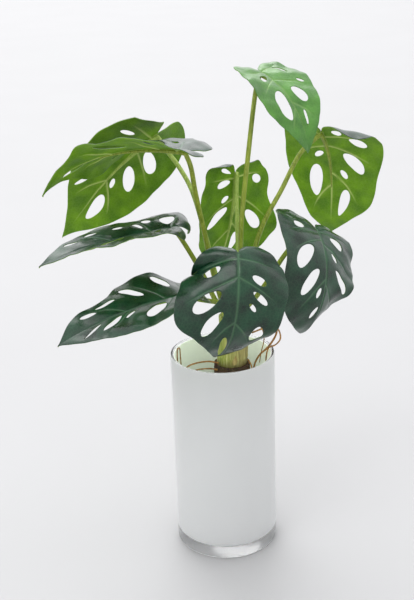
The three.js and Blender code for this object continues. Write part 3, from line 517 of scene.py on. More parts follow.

# In millimetres and degrees. Each leaf: the rib's start, its length, its width as a share of the plain
# leaf's, its direction (turn about Z from +X, pitch above the horizon, roll), how far it bends on its way
# to the tip, how far its lobes bend down, and its stalk's bearing and points. Each half: how it folds up
# from the rib and curls, how high its margin lifts from the lobe to the tip, how far its margin reaches at
# each ray as a share of the plain leaf's, and its holes (ray, share of the way out, half sizes of both).
# Most of these numbers weren't chosen by hand. They were worked out by least squares from marks on the
# photograph.
leaves = {
    "a": dict(
        base=(40.9, 20, 459.1), length=92.1, width=1, turn=-44.5, pitch=-16.1, roll=-1.6, arch=71.8,
        tip_curl=18.8, swerve=-2.2, twist=28, lobe=8.8, bearing=None,
        right=dict(
            fold=(9.5, 6.1), curl=(-10.3, -12.9), lift=(9, 0.1, 4.4, 1.3, -1.5, -1, -0.3, 0.1),
            reach=(0.98, 1, 1.07, 0.97, 1, 1.02, 1.03, 1.03, 1.06, 1),
            holes=[(4.17, 0.35, 0.35, 0.17), (6.13, 0.42, 0.75, 0.29)]),
        left=dict(
            fold=(5.4, 8.5), curl=(-2.9, -7.9), lift=(6.6, -0.6, 0.1, -1.1, 1.1, 1.4, 0.7, 0),
            reach=(1.02, 1.02, 1.04, 1.02, 1.04, 1.02, 1.05, 1.02, 1.02, 1),
            holes=[(3.03, 0.59, 0.75, 0.09), (4.6, 0.72, 0.13, 0.1), (5.83, 0.44, 0.45, 0.21),
                   (7.17, 0.4, 0.4, 0.09)]),
        stalk=[(18, 2, 276), (21, 7, 326), (28, 12, 384), (37, 19, 446)]),
    "b": dict(
        base=(100, 60.4, 395.8), length=136, width=1.05, turn=60.2, pitch=-39.5, roll=0.5, arch=69.3,
        tip_curl=-61.6, swerve=-12.2, twist=-7.8, lobe=15.5, bearing=25,
        right=dict(
            fold=(9.1, -1.8), curl=(-19, -14.4), lift=(-11, 0.7, 6.3, 3, 0.3, -0.6, -1.8, -3.7),
            reach=(1.02, 1.04, 1.08, 1.06, 1.02, 1.01, 1.19, 1.12, 1.08, 1),
            holes=[(2.77, 0.26, 0.54, 0.09), (3.87, 0.56, 0.35, 0.16), (5.23, 0.48, 0.38, 0.22),
                   (6.13, 0.28, 0.16, 0.09), (7.13, 0.5, 0.59, 0.18)]),
        left=dict(
            fold=(20.7, -7.2), curl=(-11.7, -13.8), lift=(-3.5, -0.9, 1.1, 1.9, -0.6, 0.2, -1.9, -1.7),
            reach=(0.9, 0.86, 0.87, 0.9, 0.92, 0.99, 1.01, 1.17, 1.14, 1),
            holes=[(5.3, 0.25, 0.16, 0.12), (6.3, 0.46, 0.61, 0.21)]),
        stalk=[(28, 13, 277), (41, 26, 315), (60, 38, 346), (80, 50, 379)]),
    "c": dict(
        base=(17.3, 50.1, 361), length=128, width=0.8, turn=118.7, pitch=-84.6, roll=-8.4, arch=-28.8,
        tip_curl=-26.6, swerve=2.6, twist=12.1, lobe=85.8, bearing=70,
        right=dict(
            fold=(-5.9, -8.5), curl=(-12.9, -19.5), lift=(6, 1.2, 0.9, -12.4, -6.2, -8.3, -2.7, 5.2),
            reach=(0.73, 0.87, 0.95, 1.02, 0.97, 1.2, 1.2, 1.11, 1.09, 1),
            holes=[(3.17, 0.65, 0.32, 0.12), (5.37, 0.52, 0.3, 0.19), (6.93, 0.34, 0.5, 0.15)]),
        left=dict(
            fold=(17.3, 12.3), curl=(-15.6, -28.4), lift=(6.7, -0.7, -0.6, -1.5, -0.3, 2, 0.7, -2.5),
            reach=(0.99, 0.99, 0.97, 0.87, 0.96, 1, 1.12, 1.08, 1.06, 1),
            holes=[(2.07, 0.32, 0.27, 0.19), (3.47, 0.32, 0.38, 0.19), (4.8, 0.23, 0.19, 0.1),
                   (5.47, 0.44, 0.28, 0.3)]),
        stalk=[(17, 18, 270), (18, 27, 294), (18, 35, 317), (18, 43, 342)]),
    "d": dict(
        base=(14.3, -79.9, 324.2), length=130.1, width=1, turn=-89, pitch=-33.3, roll=-6.9, arch=137.8,
        tip_curl=-16.6, swerve=-4.7, twist=-21.2, lobe=47.7, bearing=295,
        right=dict(
            fold=(-23.4, 8.5), curl=(-29.5, 6.4), lift=(-4.5, -5.7, -1, 3.8, 6.8, 3.3, 1.5, -2.2),
            reach=(0.9, 0.94, 1.02, 1.07, 1.08, 1.24, 1.03, 0.93, 0.96, 1),
            holes=[(3.67, 0.44, 0.43, 0.15), (5.2, 0.49, 0.32, 0.24), (6.03, 0.58, 0.25, 0.29),
                   (7.63, 0.36, 0.62, 0.23)]),
        left=dict(
            fold=(-11.2, 3.4), curl=(-24, -5.7), lift=(-5, -1.6, 1.6, 5.4, 12.8, 2.2, -1.2, 0.9),
            reach=(0.91, 0.94, 0.93, 0.99, 1.02, 1.01, 1.08, 1, 1.01, 1),
            holes=[(4.37, 0.38, 0.25, 0.14), (5.13, 0.46, 0.17, 0.17), (5.69, 0.33, 0.12, 0.09),
                   (6.3, 0.7, 0.37, 0.15)]),
        stalk=[(17, -12, 262), (16, -30, 294), (15, -54, 314)]),
    "e": dict(
        base=(87.4, -8.3, 321.7), length=123.9, width=1, turn=-69.3, pitch=-17.8, roll=-28.1, arch=119.5,
        tip_curl=15.5, swerve=-17.6, twist=14.3, lobe=0, bearing=-20,
        right=dict(
            fold=(4.6, 5.9), curl=(-3.1, -23.1), lift=(0.6, -2.6, -0.7, 1.5, -0.7, -1.8, -2.2, -1.6),
            reach=(1.05, 1.12, 1.17, 1.11, 1.04, 1.15, 1.25, 1.18, 1.11, 1),
            holes=[(2.95, 0.5, 0.35, 0.13), (4.83, 0.52, 0.4, 0.23), (5.93, 0.44, 0.29, 0.24),
                   (6.73, 0.22, 0.15, 0.09), (7.4, 0.3, 0.16, 0.17)]),
        left=dict(
            fold=(5.9, -53.3), curl=(-12.6, -7.8), lift=(-2.1, -1.3, -4.9, 1.3, 12.2, 7.5, -2, -3.4),
            reach=(1.02, 1.03, 1.05, 1.1, 1.07, 1.18, 1.17, 1.17, 1.14, 1),
            holes=[(3.7, 0.39, 0.42, 0.16), (5.03, 0.26, 0.18, 0.09), (5.64, 0.58, 0.2, 0.29)]),
        stalk=[(34, -5, 258), (46, -7, 276), (60, -9, 299), (76, -14, 318)]),
    "f": dict(
        base=(-55.8, 53.8, 399.7), length=138.8, width=1.12, turn=180, pitch=-32.2, roll=11.1, arch=30.6,
        tip_curl=-21.1, swerve=13.1, twist=48.2, lobe=-18.1, bearing=115,
        right=dict(
            fold=(-16.7, -22.6), curl=(-25.4, -13.7), lift=(-7.5, -2.5, -0.9, 1.8, 1.4, -1.5, -2.2, -0.9),
            reach=(0.93, 1.05, 1.11, 1.08, 1.04, 1.06, 1.1, 1.11, 1.02, 1),
            holes=[(4.3, 0.48, 0.43, 0.23), (5.6, 0.43, 0.32, 0.24), (6.43, 0.22, 0.16, 0.09),
                   (7.3, 0.4, 0.45, 0.26)]),
        left=dict(
            fold=(19.8, 5.1), curl=(6.7, 0.8), lift=(2.8, 2.2, 2.6, 0.9, 0.8, -0.4, -0.5, -0.2),
            reach=(0.9, 0.87, 0.96, 0.95, 0.97, 0.98, 0.95, 0.9, 0.93, 1),
            holes=[(3.6, 0.56, 0.18, 0.16), (6.23, 0.68, 0.12, 0.19)]),
        stalk=[(-4, 13, 273), (-12, 19, 308), (-24, 36, 350), (-36, 50, 370), (-45, 55, 382)]),
    "g": dict(
        base=(-27, -30, 402.1), length=136.6, width=1, turn=172.9, pitch=8.6, roll=3.1, arch=39.3,
        tip_curl=31.2, swerve=-11.8, twist=43.3, lobe=0, bearing=160,
        right=dict(
            fold=(4.3, 16.6), curl=(-4.3, -27), lift=(2.1, 0.8, 3.7, 7.3, -0.7, -9.8, -4.6, 0.4),
            reach=(1.08, 1.11, 1.12, 1.09, 1.11, 1.19, 1.19, 1.02, 0.96, 1),
            holes=[(3.45, 0.52, 0.22, 0.15), (4.25, 0.55, 0.22, 0.27), (5.4, 0.54, 0.33, 0.27),
                   (7.45, 0.5, 0.3, 0.3)]),
        left=dict(
            fold=(8.8, -4), curl=(-0.5, -3.5), lift=(2.3, 0.4, 2.2, 1.1, -1.9, 3.4, 1.2, 0.1),
            reach=(0.97, 0.96, 0.96, 1, 1.03, 1.08, 1.14, 0.96, 1, 1),
            holes=[(3.5, 0.52, 0.22, 0.15), (4.3, 0.55, 0.2, 0.17), (5.9, 0.52, 0.36, 0.26)]),
        stalk=[(-7, -2, 283), (-14, -8, 325), (-20, -18, 361), (-23.5, -27, 388)]),
    "h": dict(
        base=(-40.2, -9.9, 327.8), length=127.9, width=1, turn=174.4, pitch=-10, roll=7.2, arch=2.3,
        tip_curl=10.7, swerve=-25.7, twist=-14.8, lobe=92.4, bearing=205,
        right=dict(
            fold=(25.5, 15), curl=(-34.2, -29.9), lift=(-1.1, 0.1, -1.5, -2.1, -1, -1.9, 1.2, 0.4),
            reach=(1.01, 1.02, 1.03, 1.02, 1.02, 1.03, 1.03, 1.08, 1.04, 1),
            holes=[(3.2, 0.34, 0.64, 0.21), (4.5, 0.44, 0.22, 0.1), (5.09, 0.33, 0.14, 0.16),
                   (5.68, 0.49, 0.18, 0.09), (6.41, 0.67, 0.2, 0.09), (7.09, 0.73, 0.2, 0.14)]),
        left=dict(
            fold=(7.5, 9), curl=(-4.3, 11.2), lift=(-3.4, -2.7, -0.3, -0.4, -1.3, 4.1, 2.2, -0.2),
            reach=(0.92, 0.9, 0.94, 0.98, 0.99, 1.02, 1.02, 1.04, 1.07, 1),
            holes=[(3.5, 0.52, 0.22, 0.15), (4.3, 0.55, 0.2, 0.17), (5.9, 0.52, 0.36, 0.26)]),
        stalk=[(-6, -5, 256), (-14, -6, 276), (-24, -8, 297), (-34, -10, 316)]),
    "i": dict(
        base=(-28.7, -46, 277.4), length=125, width=1, turn=191.4, pitch=-6.2, roll=7.6, arch=14,
        tip_curl=3, swerve=-14.5, twist=-23.2, lobe=40, bearing=250,
        right=dict(
            fold=(8.3, 20), curl=(-12.6, -12.1), lift=(-3.8, -2.1, 8.4, 2.9, -1.5, -3.3, 0.4, 1.3),
            reach=(1.02, 1.02, 1.04, 1.07, 1.04, 1.04, 0.92, 1.12, 1.11, 1),
            holes=[(3.8, 0.64, 0.32, 0.23), (5.3, 0.61, 0.19, 0.26), (6.27, 0.74, 0.33, 0.09),
                   (7.03, 0.67, 0.2, 0.15)]),
        left=dict(
            fold=(11.3, -5), curl=(-13.7, -15.7), lift=(0, 0.2, 0.5, 0.3, -0.3, 0.5, -0.3, -0.6),
            reach=(1, 1, 1, 1, 1.01, 1.02, 1.02, 1.08, 1.11, 1),
            holes=[(4.87, 0.48, 0.45, 0.24), (6.26, 0.27, 0.15, 0.14), (6.81, 0.41, 0.19, 0.28),
                   (7.5, 0.45, 0.12, 0.32)]),
        stalk=[(5, -15, 248), (-3, -24, 259), (-12, -34, 265), (-21, -42, 270)]),
}


def through_keys(keys, at):
    """Smooth curve through evenly numbered keys."""
    i = np.clip(np.floor(at).astype(int), 0, len(keys) - 2)
    f = at - i
    p0, p1, p2, p3 = (keys[np.clip(i + step, 0, len(keys) - 1)] for step in (-1, 0, 1, 2))
    return 0.5 * (2 * p1 + (p2 - p0) * f + (2 * p0 - 5 * p1 + 4 * p2 - p3) * f ** 2
                  + (3 * p1 - p0 - 3 * p2 + p3) * f ** 3)


def by_side(leaf, side, at, name):
    """A half leaf's keys, read at each place of the half that the place is on."""
    right_half, left_half = (through_keys(np.array(leaf[half][name], dtype=float), at)
                             for half in ("right", "left"))
    return np.where(side > 0, right_half, left_half)


def eased(leaf, side, share, name):
    """A half leaf's pair of degrees, for its stalk end and its tip, read between them and in radians."""
    first, last = (np.where(side > 0, *pair) for pair in zip(leaf["right"][name], leaf["left"][name]))
    return np.radians(first + (last - first) * share)


def flat_place(leaf, ray, share, side):
    """Ray numbers and shares of the way out to the margin, as places along and across a leaf of length 1."""
    stretch = by_side(leaf, side, ray, "reach")
    start = np.where(ray <= 1, 0, through_keys(rib_stations, ray))
    along_end = start + (through_keys(leaf_margin[:, 0], ray) - start) * stretch
    across_end = through_keys(leaf_margin[:, 1], ray) * stretch
    angle = np.radians(through_keys(ray_angles, ray))
    reach = np.hypot(along_end - start, across_end) / 2
    rest = 1 - share
    bow = 2 * share * rest
    along = start * rest ** 2 + (start + np.cos(angle) * reach) * bow + along_end * share ** 2
    across = np.sin(angle) * reach * bow + across_end * share ** 2
    return along, across


def turn_towards(first, second, angle):
    return (first * math.cos(angle) + second * math.sin(angle),
            second * math.cos(angle) - first * math.sin(angle))


def rib_of(leaf):
    """Stations along the rib: place, and directions along it, up from the blade and across to the right."""
    turn, pitch = math.radians(leaf["turn"]), math.radians(leaf["pitch"])
    ahead = np.array((math.cos(turn), math.sin(turn), 0))
    along = ahead * math.cos(pitch) + (0, 0, math.sin(pitch))
    up = -ahead * math.sin(pitch) + (0, 0, math.cos(pitch))
    across = np.cross(along, up)
    up, across = turn_towards(up, across, math.radians(leaf["roll"]))
    place = np.array(leaf["base"], dtype=float) * MM
    stations = [(place, along, up, across)]
    for i in range(rib_steps):
        share = (i + 0.5) / rib_steps
        bend = math.radians((leaf["arch"] + leaf["tip_curl"] * 4 * share ** 3) / rib_steps)
        along, up = turn_towards(along, up, -bend)
        along, across = turn_towards(along, across, math.radians(leaf["swerve"] / rib_steps))
        up, across = turn_towards(up, across, math.radians(leaf["twist"] / rib_steps))
        place = place + along * leaf["length"] * MM / rib_steps
        stations.append((place, along, up, across))
    return np.array(stations)


def station_at(stations, share):
    at = np.clip(share, 0, 1) * rib_steps
    i = np.minimum(np.floor(at).astype(int), rib_steps - 1)
    f = (at - i)[:, None, None]
    return np.moveaxis(stations[i] * (1 - f) + stations[i + 1] * f, 1, 0)


def bent_places(leaf, stations, along, across, side):
    """The leaf's middle surface. side is 1 on the right half and -1 on the left."""
    length = leaf["length"] * MM
    width = widest * length * leaf["width"]
    out = across * length * leaf["width"]
    place, forward, up, sideways = station_at(stations, along)
    back = np.minimum(along, 0) * length
    depth = lobe_depth * length
    if leaf["lobe"]:
        bend = math.radians(leaf["lobe"]) / depth
        angle = -back * bend
        behind, below = np.sin(angle) / bend, (1 - np.cos(angle)) / bend
        place = place - forward * behind[:, None] - up * below[:, None]
        up = up * np.cos(angle)[:, None] - forward * np.sin(angle)[:, None]
    else:
        place = place + forward * back[:, None]
    share = np.clip(along, 0, 1)
    fold = eased(leaf, side, share, "fold") * (1 + back / depth)
    curl = eased(leaf, side, share, "curl")
    end = fold + curl * out / width
    from_lobe = np.clip((along + lobe_depth) / (1 + lobe_depth), 0, 1)
    lift = by_side(leaf, side, from_lobe * (len(leaf["right"]["lift"]) - 1), "lift") * MM
    outward = (np.sin(end) - np.sin(fold)) * width / curl
    upward = -(np.cos(end) - np.cos(fold)) * width / curl + lift * (out / width) ** 2
    return place + sideways * (side * outward)[:, None] + up * upward[:, None]


def block_of(hole, share_lines):
    """The block of the grid that a hole takes, a little larger than the hole, with rays in tenths."""
    ray, share, half_ray, half_share = hole
    ray_spare, share_spare = 0.08, 0.02
    return (math.floor((ray - half_ray - ray_spare) * 10) / 10,
            math.ceil((ray + half_ray + ray_spare) * 10) / 10,
            max(line for line in share_lines if line < share - half_share - share_spare),
            min(line for line in share_lines if line > share + half_share + share_spare))


def filled_in(lines, widest_step):
    """Sorted lines with others put between those further apart than the widest step."""
    lines = sorted(set(round(line, 3) for line in lines))
    filled = []
    for low, high in zip(lines, lines[1:]):
        parts = math.ceil((high - low) / widest_step - 1e-9)
        filled += [low + (high - low) * i / parts for i in range(parts)]
    return filled + [lines[-1]]


def clear_vein(ray, holes):
    """A vein runs along a ray, moved off any hole that it would cross."""
    for middle, _, half_ray, _ in holes:
        clear = half_ray + 0.09
        if abs(ray - middle) < clear:
            ray = middle + math.copysign(clear, ray - middle)
    return ray


def vein_rays(half):
    side_veins = (3.0, 4.8, 6.7)
    return [clear_vein(ray, half["holes"]) for ray in side_veins]


def half_faces(blocks, holes, ray_lines, share_lines):
    """Four-cornered faces of one half in ray and share, with graded rings of them round each hole."""
    faces = []

    def in_block(ray, share):
        return any(b[0] < ray < b[1] and b[2] < share < b[3] for b in blocks)

    for r0, r1 in zip(ray_lines, ray_lines[1:]):
        for s0, s1 in zip(share_lines, share_lines[1:]):
            if not in_block((r0 + r1) / 2, (s0 + s1) / 2):
                faces.append(((r0, s0), (r1, s0), (r1, s1), (r0, s1)))
    for (r0, r1, s0, s1), (ray, share, half_ray, half_share) in zip(blocks, holes):
        rays = [line for line in ray_lines if r0 - 1e-6 <= line <= r1 + 1e-6]
        shares = [line for line in share_lines if s0 - 1e-6 <= line <= s1 + 1e-6]
        rim = [(line, s0) for line in rays[:-1]] + [(r1, line) for line in shares[:-1]]
        rim += [(line, s1) for line in rays[:0:-1]] + [(r0, line) for line in shares[:0:-1]]
        edge = []
        for line, part in rim:
            angle = math.atan2((2 * part - s0 - s1) / (s1 - s0), (2 * line - r0 - r1) / (r1 - r0))
            edge.append((ray + half_ray * math.cos(angle), share + half_share * math.sin(angle)))
        rings = [[(a[0] + (b[0] - a[0]) * f, a[1] + (b[1] - a[1]) * f) for a, b in zip(rim, edge)]
                 for f in (0, 0.3, 0.55, 0.75, 0.9, 1)]
        for outer, inner in zip(rings, rings[1:]):
            for i in range(len(rim)):
                j = (i + 1) % len(rim)
                faces.append((outer[i], outer[j], inner[j], inner[i]))
    return faces


def leaf_relief(leaf, ray, share, side, along, across):
    """Heights along the normal, of the face's grooves and swellings and of the underside's ridges, and a
    mask from 0 to 1 of where the veins run."""
    across_mm = across * leaf["length"] * leaf["width"]
    step = 1e-3
    along_ray, across_ray = flat_place(leaf, ray + step, share, side)
    along_share, across_share = flat_place(leaf, ray, np.clip(share + step, 0, 1), side)
    d_ray = np.stack((along_ray - along, across_ray - across), 1) / step
    d_share = np.stack((along_share - along, across_share - across), 1) / step
    spread = np.abs(d_ray[:, 0] * d_share[:, 1] - d_ray[:, 1] * d_share[:, 0])
    spread = spread / np.maximum(np.hypot(*d_share.T), 1e-4) * leaf["length"]
    rib_width = 1.2 - 0.8 * np.clip(along, 0, 1)
    rib_fade = np.clip((0.86 - along) / 0.25, 0, 1) * np.clip((along + 0.02) / 0.03, 0, 1)
    rib = np.exp(-(across_mm / rib_width) ** 2) * rib_fade
    veins = np.zeros(len(ray))
    swell = np.zeros(len(ray))
    for half, chosen in ((leaf["right"], side > 0), (leaf["left"], side < 0)):
        lines = vein_rays(half)
        reach = np.clip((0.8 - share) / 0.3, 0, 1)
        width = 0.4 + 0.5 * np.clip(1 - share, 0, 1)
        for vein in lines:
            near = np.exp(-(np.abs(ray - vein) * spread / width) ** 2) * reach
            veins = np.where(chosen, np.maximum(veins, near), veins)
        marks = [0.6] + lines + [8.6]
        for low, high in zip(marks, marks[1:]):
            inside = np.clip((ray - low) / (high - low), 0, 1)
            swell = np.where(chosen, np.maximum(swell, np.sin(np.pi * inside)), swell)
    swell = swell * np.clip(4 * share * (1 - share), 0, 1) * np.clip((7.9 - ray) / 2, 0, 1)
    face = 0.9 * swell - np.maximum(0.75 * rib, 0.45 * veins)
    under = veins + 0.6 * rib - 0.8 * swell
    return face * MM, under * MM, np.maximum(rib, veins)


def leaf_dents(letter, along, across, share):
    """Soft dents left by the mould: none on the rib, deeper towards the margin, different on every leaf."""
    start = ord(letter) * 1.7
    dents = np.zeros(len(along))
    waves = ((3.1, 2.3, 0.5), (-4.7, 5.1, 0.35), (8.3, 3.9, 0.2))
    for number, (along_turns, across_turns, depth) in enumerate(waves, 1):
        turns = along * along_turns + across * across_turns
        dents += depth * np.sin(2 * np.pi * turns + start * number)
    return dents * np.sqrt(np.clip(share, 0, 1)) * np.clip((1 - along) / 0.2, 0, 1) * MM


def make_leaf(letter, leaf, face_material, under_material, slot):
    """One blade: face and underside over the same grid, closed by a rounded wall along every edge."""
    stations = rib_of(leaf)
    halves = {1: leaf["right"], -1: leaf["left"]}
    coarse_shares = [0, 0.1, 0.5, 0.9, 1]
    blocks = {side: [block_of(hole, coarse_shares) for hole in half["holes"]]
              for side, half in halves.items()}
    ray_lines = [0, 1, 2, last_ray]
    for side, half in halves.items():
        ray_lines += [edge for block in blocks[side] for edge in block[:2]]
        ray_lines += [vein + offset for vein in vein_rays(half) for offset in (-0.06, -0.03, 0, 0.03, 0.06)]
    ray_lines = filled_in(ray_lines, 0.11)
    share_lines = filled_in([0, 0.008, 0.018, 0.03, 0.045, 0.068, *coarse_shares[1:], 0.97, 0.99], 0.045)
    corners, sides = [], []
    for side, half in halves.items():
        quads = half_faces(blocks[side], half["holes"], ray_lines, share_lines)
        corners += [place for quad in quads for place in quad]
        sides += [side] * 4 * len(quads)
    corners, sides = np.array(corners), np.array(sides)
    along, across = flat_place(leaf, *corners.T, sides)
    keys = np.round(np.stack((along, sides * across), 1), 6) + 0.0
    _, first, numbers = np.unique(keys, axis=0, return_index=True, return_inverse=True)
    faces = []
    for quad, side in zip(numbers.reshape(-1, 4).tolist(), sides[::4].tolist()):
        face = list(dict.fromkeys(quad))
        if len(face) > 2:
            faces.append(face[::-side])
    (ray, share), side = corners[first].T, sides[first]
    along, across = along[first], across[first]
    middle = bent_places(leaf, stations, along, across, side)
    step = 1e-3
    further = bent_places(leaf, stations, along + step, across, side) - middle
    outer = bent_places(leaf, stations, along, across + step, side) - middle
    normal = np.cross(outer, further) * side[:, None]
    on_rib = across < 1e-6
    normal[on_rib] = station_at(stations, along)[2][on_rib]
    normal /= np.linalg.norm(normal, axis=1)[:, None]
    middle = middle + normal * leaf_dents(letter, along, across * side, share)[:, None]
    face_height, under_height, vein = leaf_relief(leaf, ray, share, side, along, across)
    top = middle + normal * (blade_thickness / 2 + face_height)[:, None]
    under = middle - normal * (blade_thickness / 2 + under_height)[:, None]

    edges = {(a, b) for face in faces for a, b in zip(face, face[1:] + face[:1])}
    border = [(a, b) for a, b in edges if (b, a) not in edges]
    outward = np.zeros_like(middle)
    for a, b in border:
        away = np.cross(middle[b] - middle[a], normal[a])
        outward[a] += away
        outward[b] += away
    rim = sorted({a for edge in border for a in edge})
    number = len(middle)
    rim_number = {a: 2 * number + i for i, a in enumerate(rim)}
    push = outward[rim] / np.maximum(np.linalg.norm(outward[rim], axis=1), 1e-12)[:, None]
    rounded = (top[rim] + under[rim]) / 2 + push * edge_bulge
    vertices = np.concatenate((top, under, rounded))
    all_faces = list(faces)
    all_faces += [[number + a for a in reversed(face)] for face in faces]
    for a, b in border:
        all_faces.append([b, a, rim_number[a], rim_number[b]])
        all_faces.append([rim_number[b], rim_number[a], number + a, number + b])
    piece = new_piece(f"blade_{letter}", vertices, all_faces, [face_material, under_material], slot,
                      [f"leaf_{letter}"])
    mesh = piece.data
    sheets = [0] * len(faces) + [1] * len(faces) + [0, 1] * len(border)
    mesh.polygons.foreach_set("material_index", sheets)
    wide = np.concatenate((np.arange(number), np.arange(number), rim))
    vein_mask = mesh.attributes.new("vein", "FLOAT", "POINT")
    # The rounded edge gets a painted highlight: a share of the vein colour.
    vein_mask.data.foreach_set("value", np.append(np.tile(vein, 2), np.full(len(rim), painted_edge_highlight)))
    corners = np.empty(len(mesh.loops), dtype=int)
    mesh.loops.foreach_get("vertex_index", corners)
    flat = np.stack((along[wide], across[wide] * side[wide]), 1) * leaf["length"] * MM * flat_scale
    layer = mesh.uv_layers.new(name="flat")
    layer.data.foreach_set("uv", flat[corners].ravel())


def leaf_skin():
    """Node group: a net of fine veins over the flat leaf, and soft blotches, for colour and bump."""
    group = bpy.data.node_groups.new("leaf_skin", "ShaderNodeTree")
    for name in ("Net", "Blotch", "Vein"):
        group.interface.new_socket(name, in_out="OUTPUT", socket_type="NodeSocketFloat")
    flat = add_node(group, "ShaderNodeUVMap", {"uv_map": "flat"}).outputs[0]
    bend = add_node(group, "ShaderNodeTexNoise", Vector=flat, Scale=6.0, Detail=2.0)
    swayed = add_node(group, "ShaderNodeVectorMath", {"operation": "MULTIPLY_ADD"})
    give(group, swayed, {0: bend.outputs["Color"], 1: (0.08, 0.08, 0.08), 2: flat})
    cells = add_node(group, "ShaderNodeTexVoronoi", {"feature": "DISTANCE_TO_EDGE"},
                     Vector=swayed.outputs[0], Scale=34.0)
    vein = add_node(group, "ShaderNodeAttribute", {"attribute_name": "vein"})
    give(group, group.nodes.new("NodeGroupOutput"), {
        "Net": remap(group, cells.outputs["Distance"], 0.0, 0.16, 1.0, 0.0),
        "Blotch": remap(group, cloudy(group, flat, 5.0, 4.0), 0.35, 0.65),
        "Vein": vein.outputs["Fac"],
    })
    return group


leaf_skin_group = leaf_skin()


def leaf_material(name, dark, light, vein_colour, vein_share, roughness, net_depth, coat, specular):
    material, tree, shader = new_material(name)
    skin = tree.nodes.new("ShaderNodeGroup")
    skin.node_tree = leaf_skin_group
    net, blotch, vein = skin.outputs
    body = mix_colours(tree, blotch, dark, light)
    body = mix_colours(tree, reckon(tree, "MULTIPLY", net, 0.07), body, vein_colour)
    body = mix_colours(tree, reckon(tree, "MULTIPLY", vein, vein_share), body, vein_colour)
    give(tree, shader, {"Base Color": body, "Coat Weight": coat, "Coat Roughness": 0.2,
                        "Roughness": remap(tree, blotch, 0, 1, roughness - 0.04, roughness + 0.06),
                        "Specular IOR Level": specular, "Normal": raised(tree, net, net_depth, 0.3 * MM)})
    return material


dark_face = leaf_material(
    "dark_leaf_face", colour(4, 32, 20), colour(14, 62, 38), colour(88, 134, 92),
    vein_share=0.4, roughness=0.3, net_depth=0.15, coat=0.45, specular=0.25)
# Leaf a's face is a paler green than the others, partly its own colour and partly painted light standing in
# for light shining through it from behind.
paler_and_painted_lit_face = leaf_material(
    "bright_leaf_face", colour(52, 108, 30), colour(82, 142, 48), colour(140, 180, 98),
    vein_share=0.45, roughness=0.34, net_depth=0.35, coat=0.5, specular=0.35)
# The underside's bright, saturated yellow-green is partly its own paler green and partly painted light,
# standing in for light shining through the leaf.
underside = leaf_material(
    "leaf_underside", colour(80, 128, 6), colour(116, 164, 18), colour(196, 216, 124),
    vein_share=0.95, roughness=0.55, net_depth=0.3, coat=0.0, specular=0.3)

for letter, leaf in leaves.items():
    face_material = paler_and_painted_lit_face if letter == "a" else dark_face
    make_leaf(letter, leaf, face_material, underside, "bright_leaf" if letter in "abcf" else "dark_leaf")


# Leaf stalks: nine round green stalks, thicker at the foot, each running on as the rib under its leaf.
# They stand upright in the trunk's top and bow out to their leaves.

def smooth_path(points, spacing):
    """Centripetal Catmull-Rom curve through points, as places about a spacing apart."""
    points = [Vector(p) for p in points]
    points = [2 * points[0] - points[1]] + points + [2 * points[-1] - points[-2]]
    places = []
    for p0, p1, p2, p3 in zip(points, points[1:], points[2:], points[3:]):
        d0, d1, d2 = ((b - a).length ** 0.5 for a, b in ((p0, p1), (p1, p2), (p2, p3)))
        t1 = ((p1 - p0) / d0 - (p2 - p0) / (d0 + d1) + (p2 - p1) / d1) * d1
        t2 = ((p2 - p1) / d1 - (p3 - p1) / (d1 + d2) + (p3 - p2) / d2) * d1
        parts = max(2, round((p2 - p1).length / spacing))
        for i in range(parts):
            f = i / parts
            places.append(p1 + t1 * f + (3 * (p2 - p1) - 2 * t1 - t2) * f ** 2
                          + (2 * (p1 - p2) + t1 + t2) * f ** 3)
    return places + [points[-2]]


def tube(places, radius_at, sides):
    """Vertices and faces of a round bar along places, with domed ends. radius_at takes the share of the way
    along it and the angle round it."""
    tangents = [(b - a).normalized() for a, b in zip(places, places[1:])]
    between = [(a + b).normalized() for a, b in zip(tangents, tangents[1:])]
    tangents = [tangents[0], *between, tangents[-1]]
    normal = tangents[0].orthogonal().normalized()
    run, lengths = 0, [0]
    for a, b in zip(places, places[1:]):
        run += (b - a).length
        lengths.append(run)
    dome = 0.4
    vertices = [places[0] - tangents[0] * radius_at(0, 0) * dome,
                places[-1] + tangents[-1] * radius_at(1, 0) * dome]
    for place, tangent, length in zip(places, tangents, lengths):
        normal = (normal - tangent * normal.dot(tangent)).normalized()
        across = tangent.cross(normal)
        for i in range(sides):
            angle = 2 * math.pi * i / sides
            size = radius_at(length / run, angle)
            vertices.append(place + (normal * math.cos(angle) + across * math.sin(angle)) * size)
    return vertices, capped_faces(len(places), sides)


def socket_place(bearing):
    """The middle of a stalk's foot: on a ring in the trunk's top, or in its middle."""
    if bearing is None:
        return Vector((trunk_top_x, 0, 0))
    angle = math.radians(bearing)
    return Vector((trunk_top_x + socket_ring * math.cos(angle), socket_ring * math.sin(angle), 0))


def narrowing(share):
    """The rib's thickness as a share of the stalk's, from the leaf's stalk end to the rib's own end."""
    return 0.88 - 0.66 * share


stalk_fibres = {"scales": (420.0, 30.0), "pale_end": 0.95, "pale_share": 0.5, "rough": (0.34, 0.5),
                "relief": 0.25}
olive_stalk = fibrous("stalk", dark=colour(106, 124, 26), light=colour(152, 168, 52),
                      pale=colour(190, 202, 104), **stalk_fibres)
pale_stalk = fibrous("pale_stalk", dark=colour(138, 168, 58), light=colour(182, 206, 100),
                     pale=colour(214, 226, 150), **stalk_fibres)
stalk_radius = 2.4 * MM
socket_ring = 10.6 * MM
socket_depth = 12 * MM
rib_reach = 0.55
rib_parts = 24
rib_below_middle = 0.55 * MM

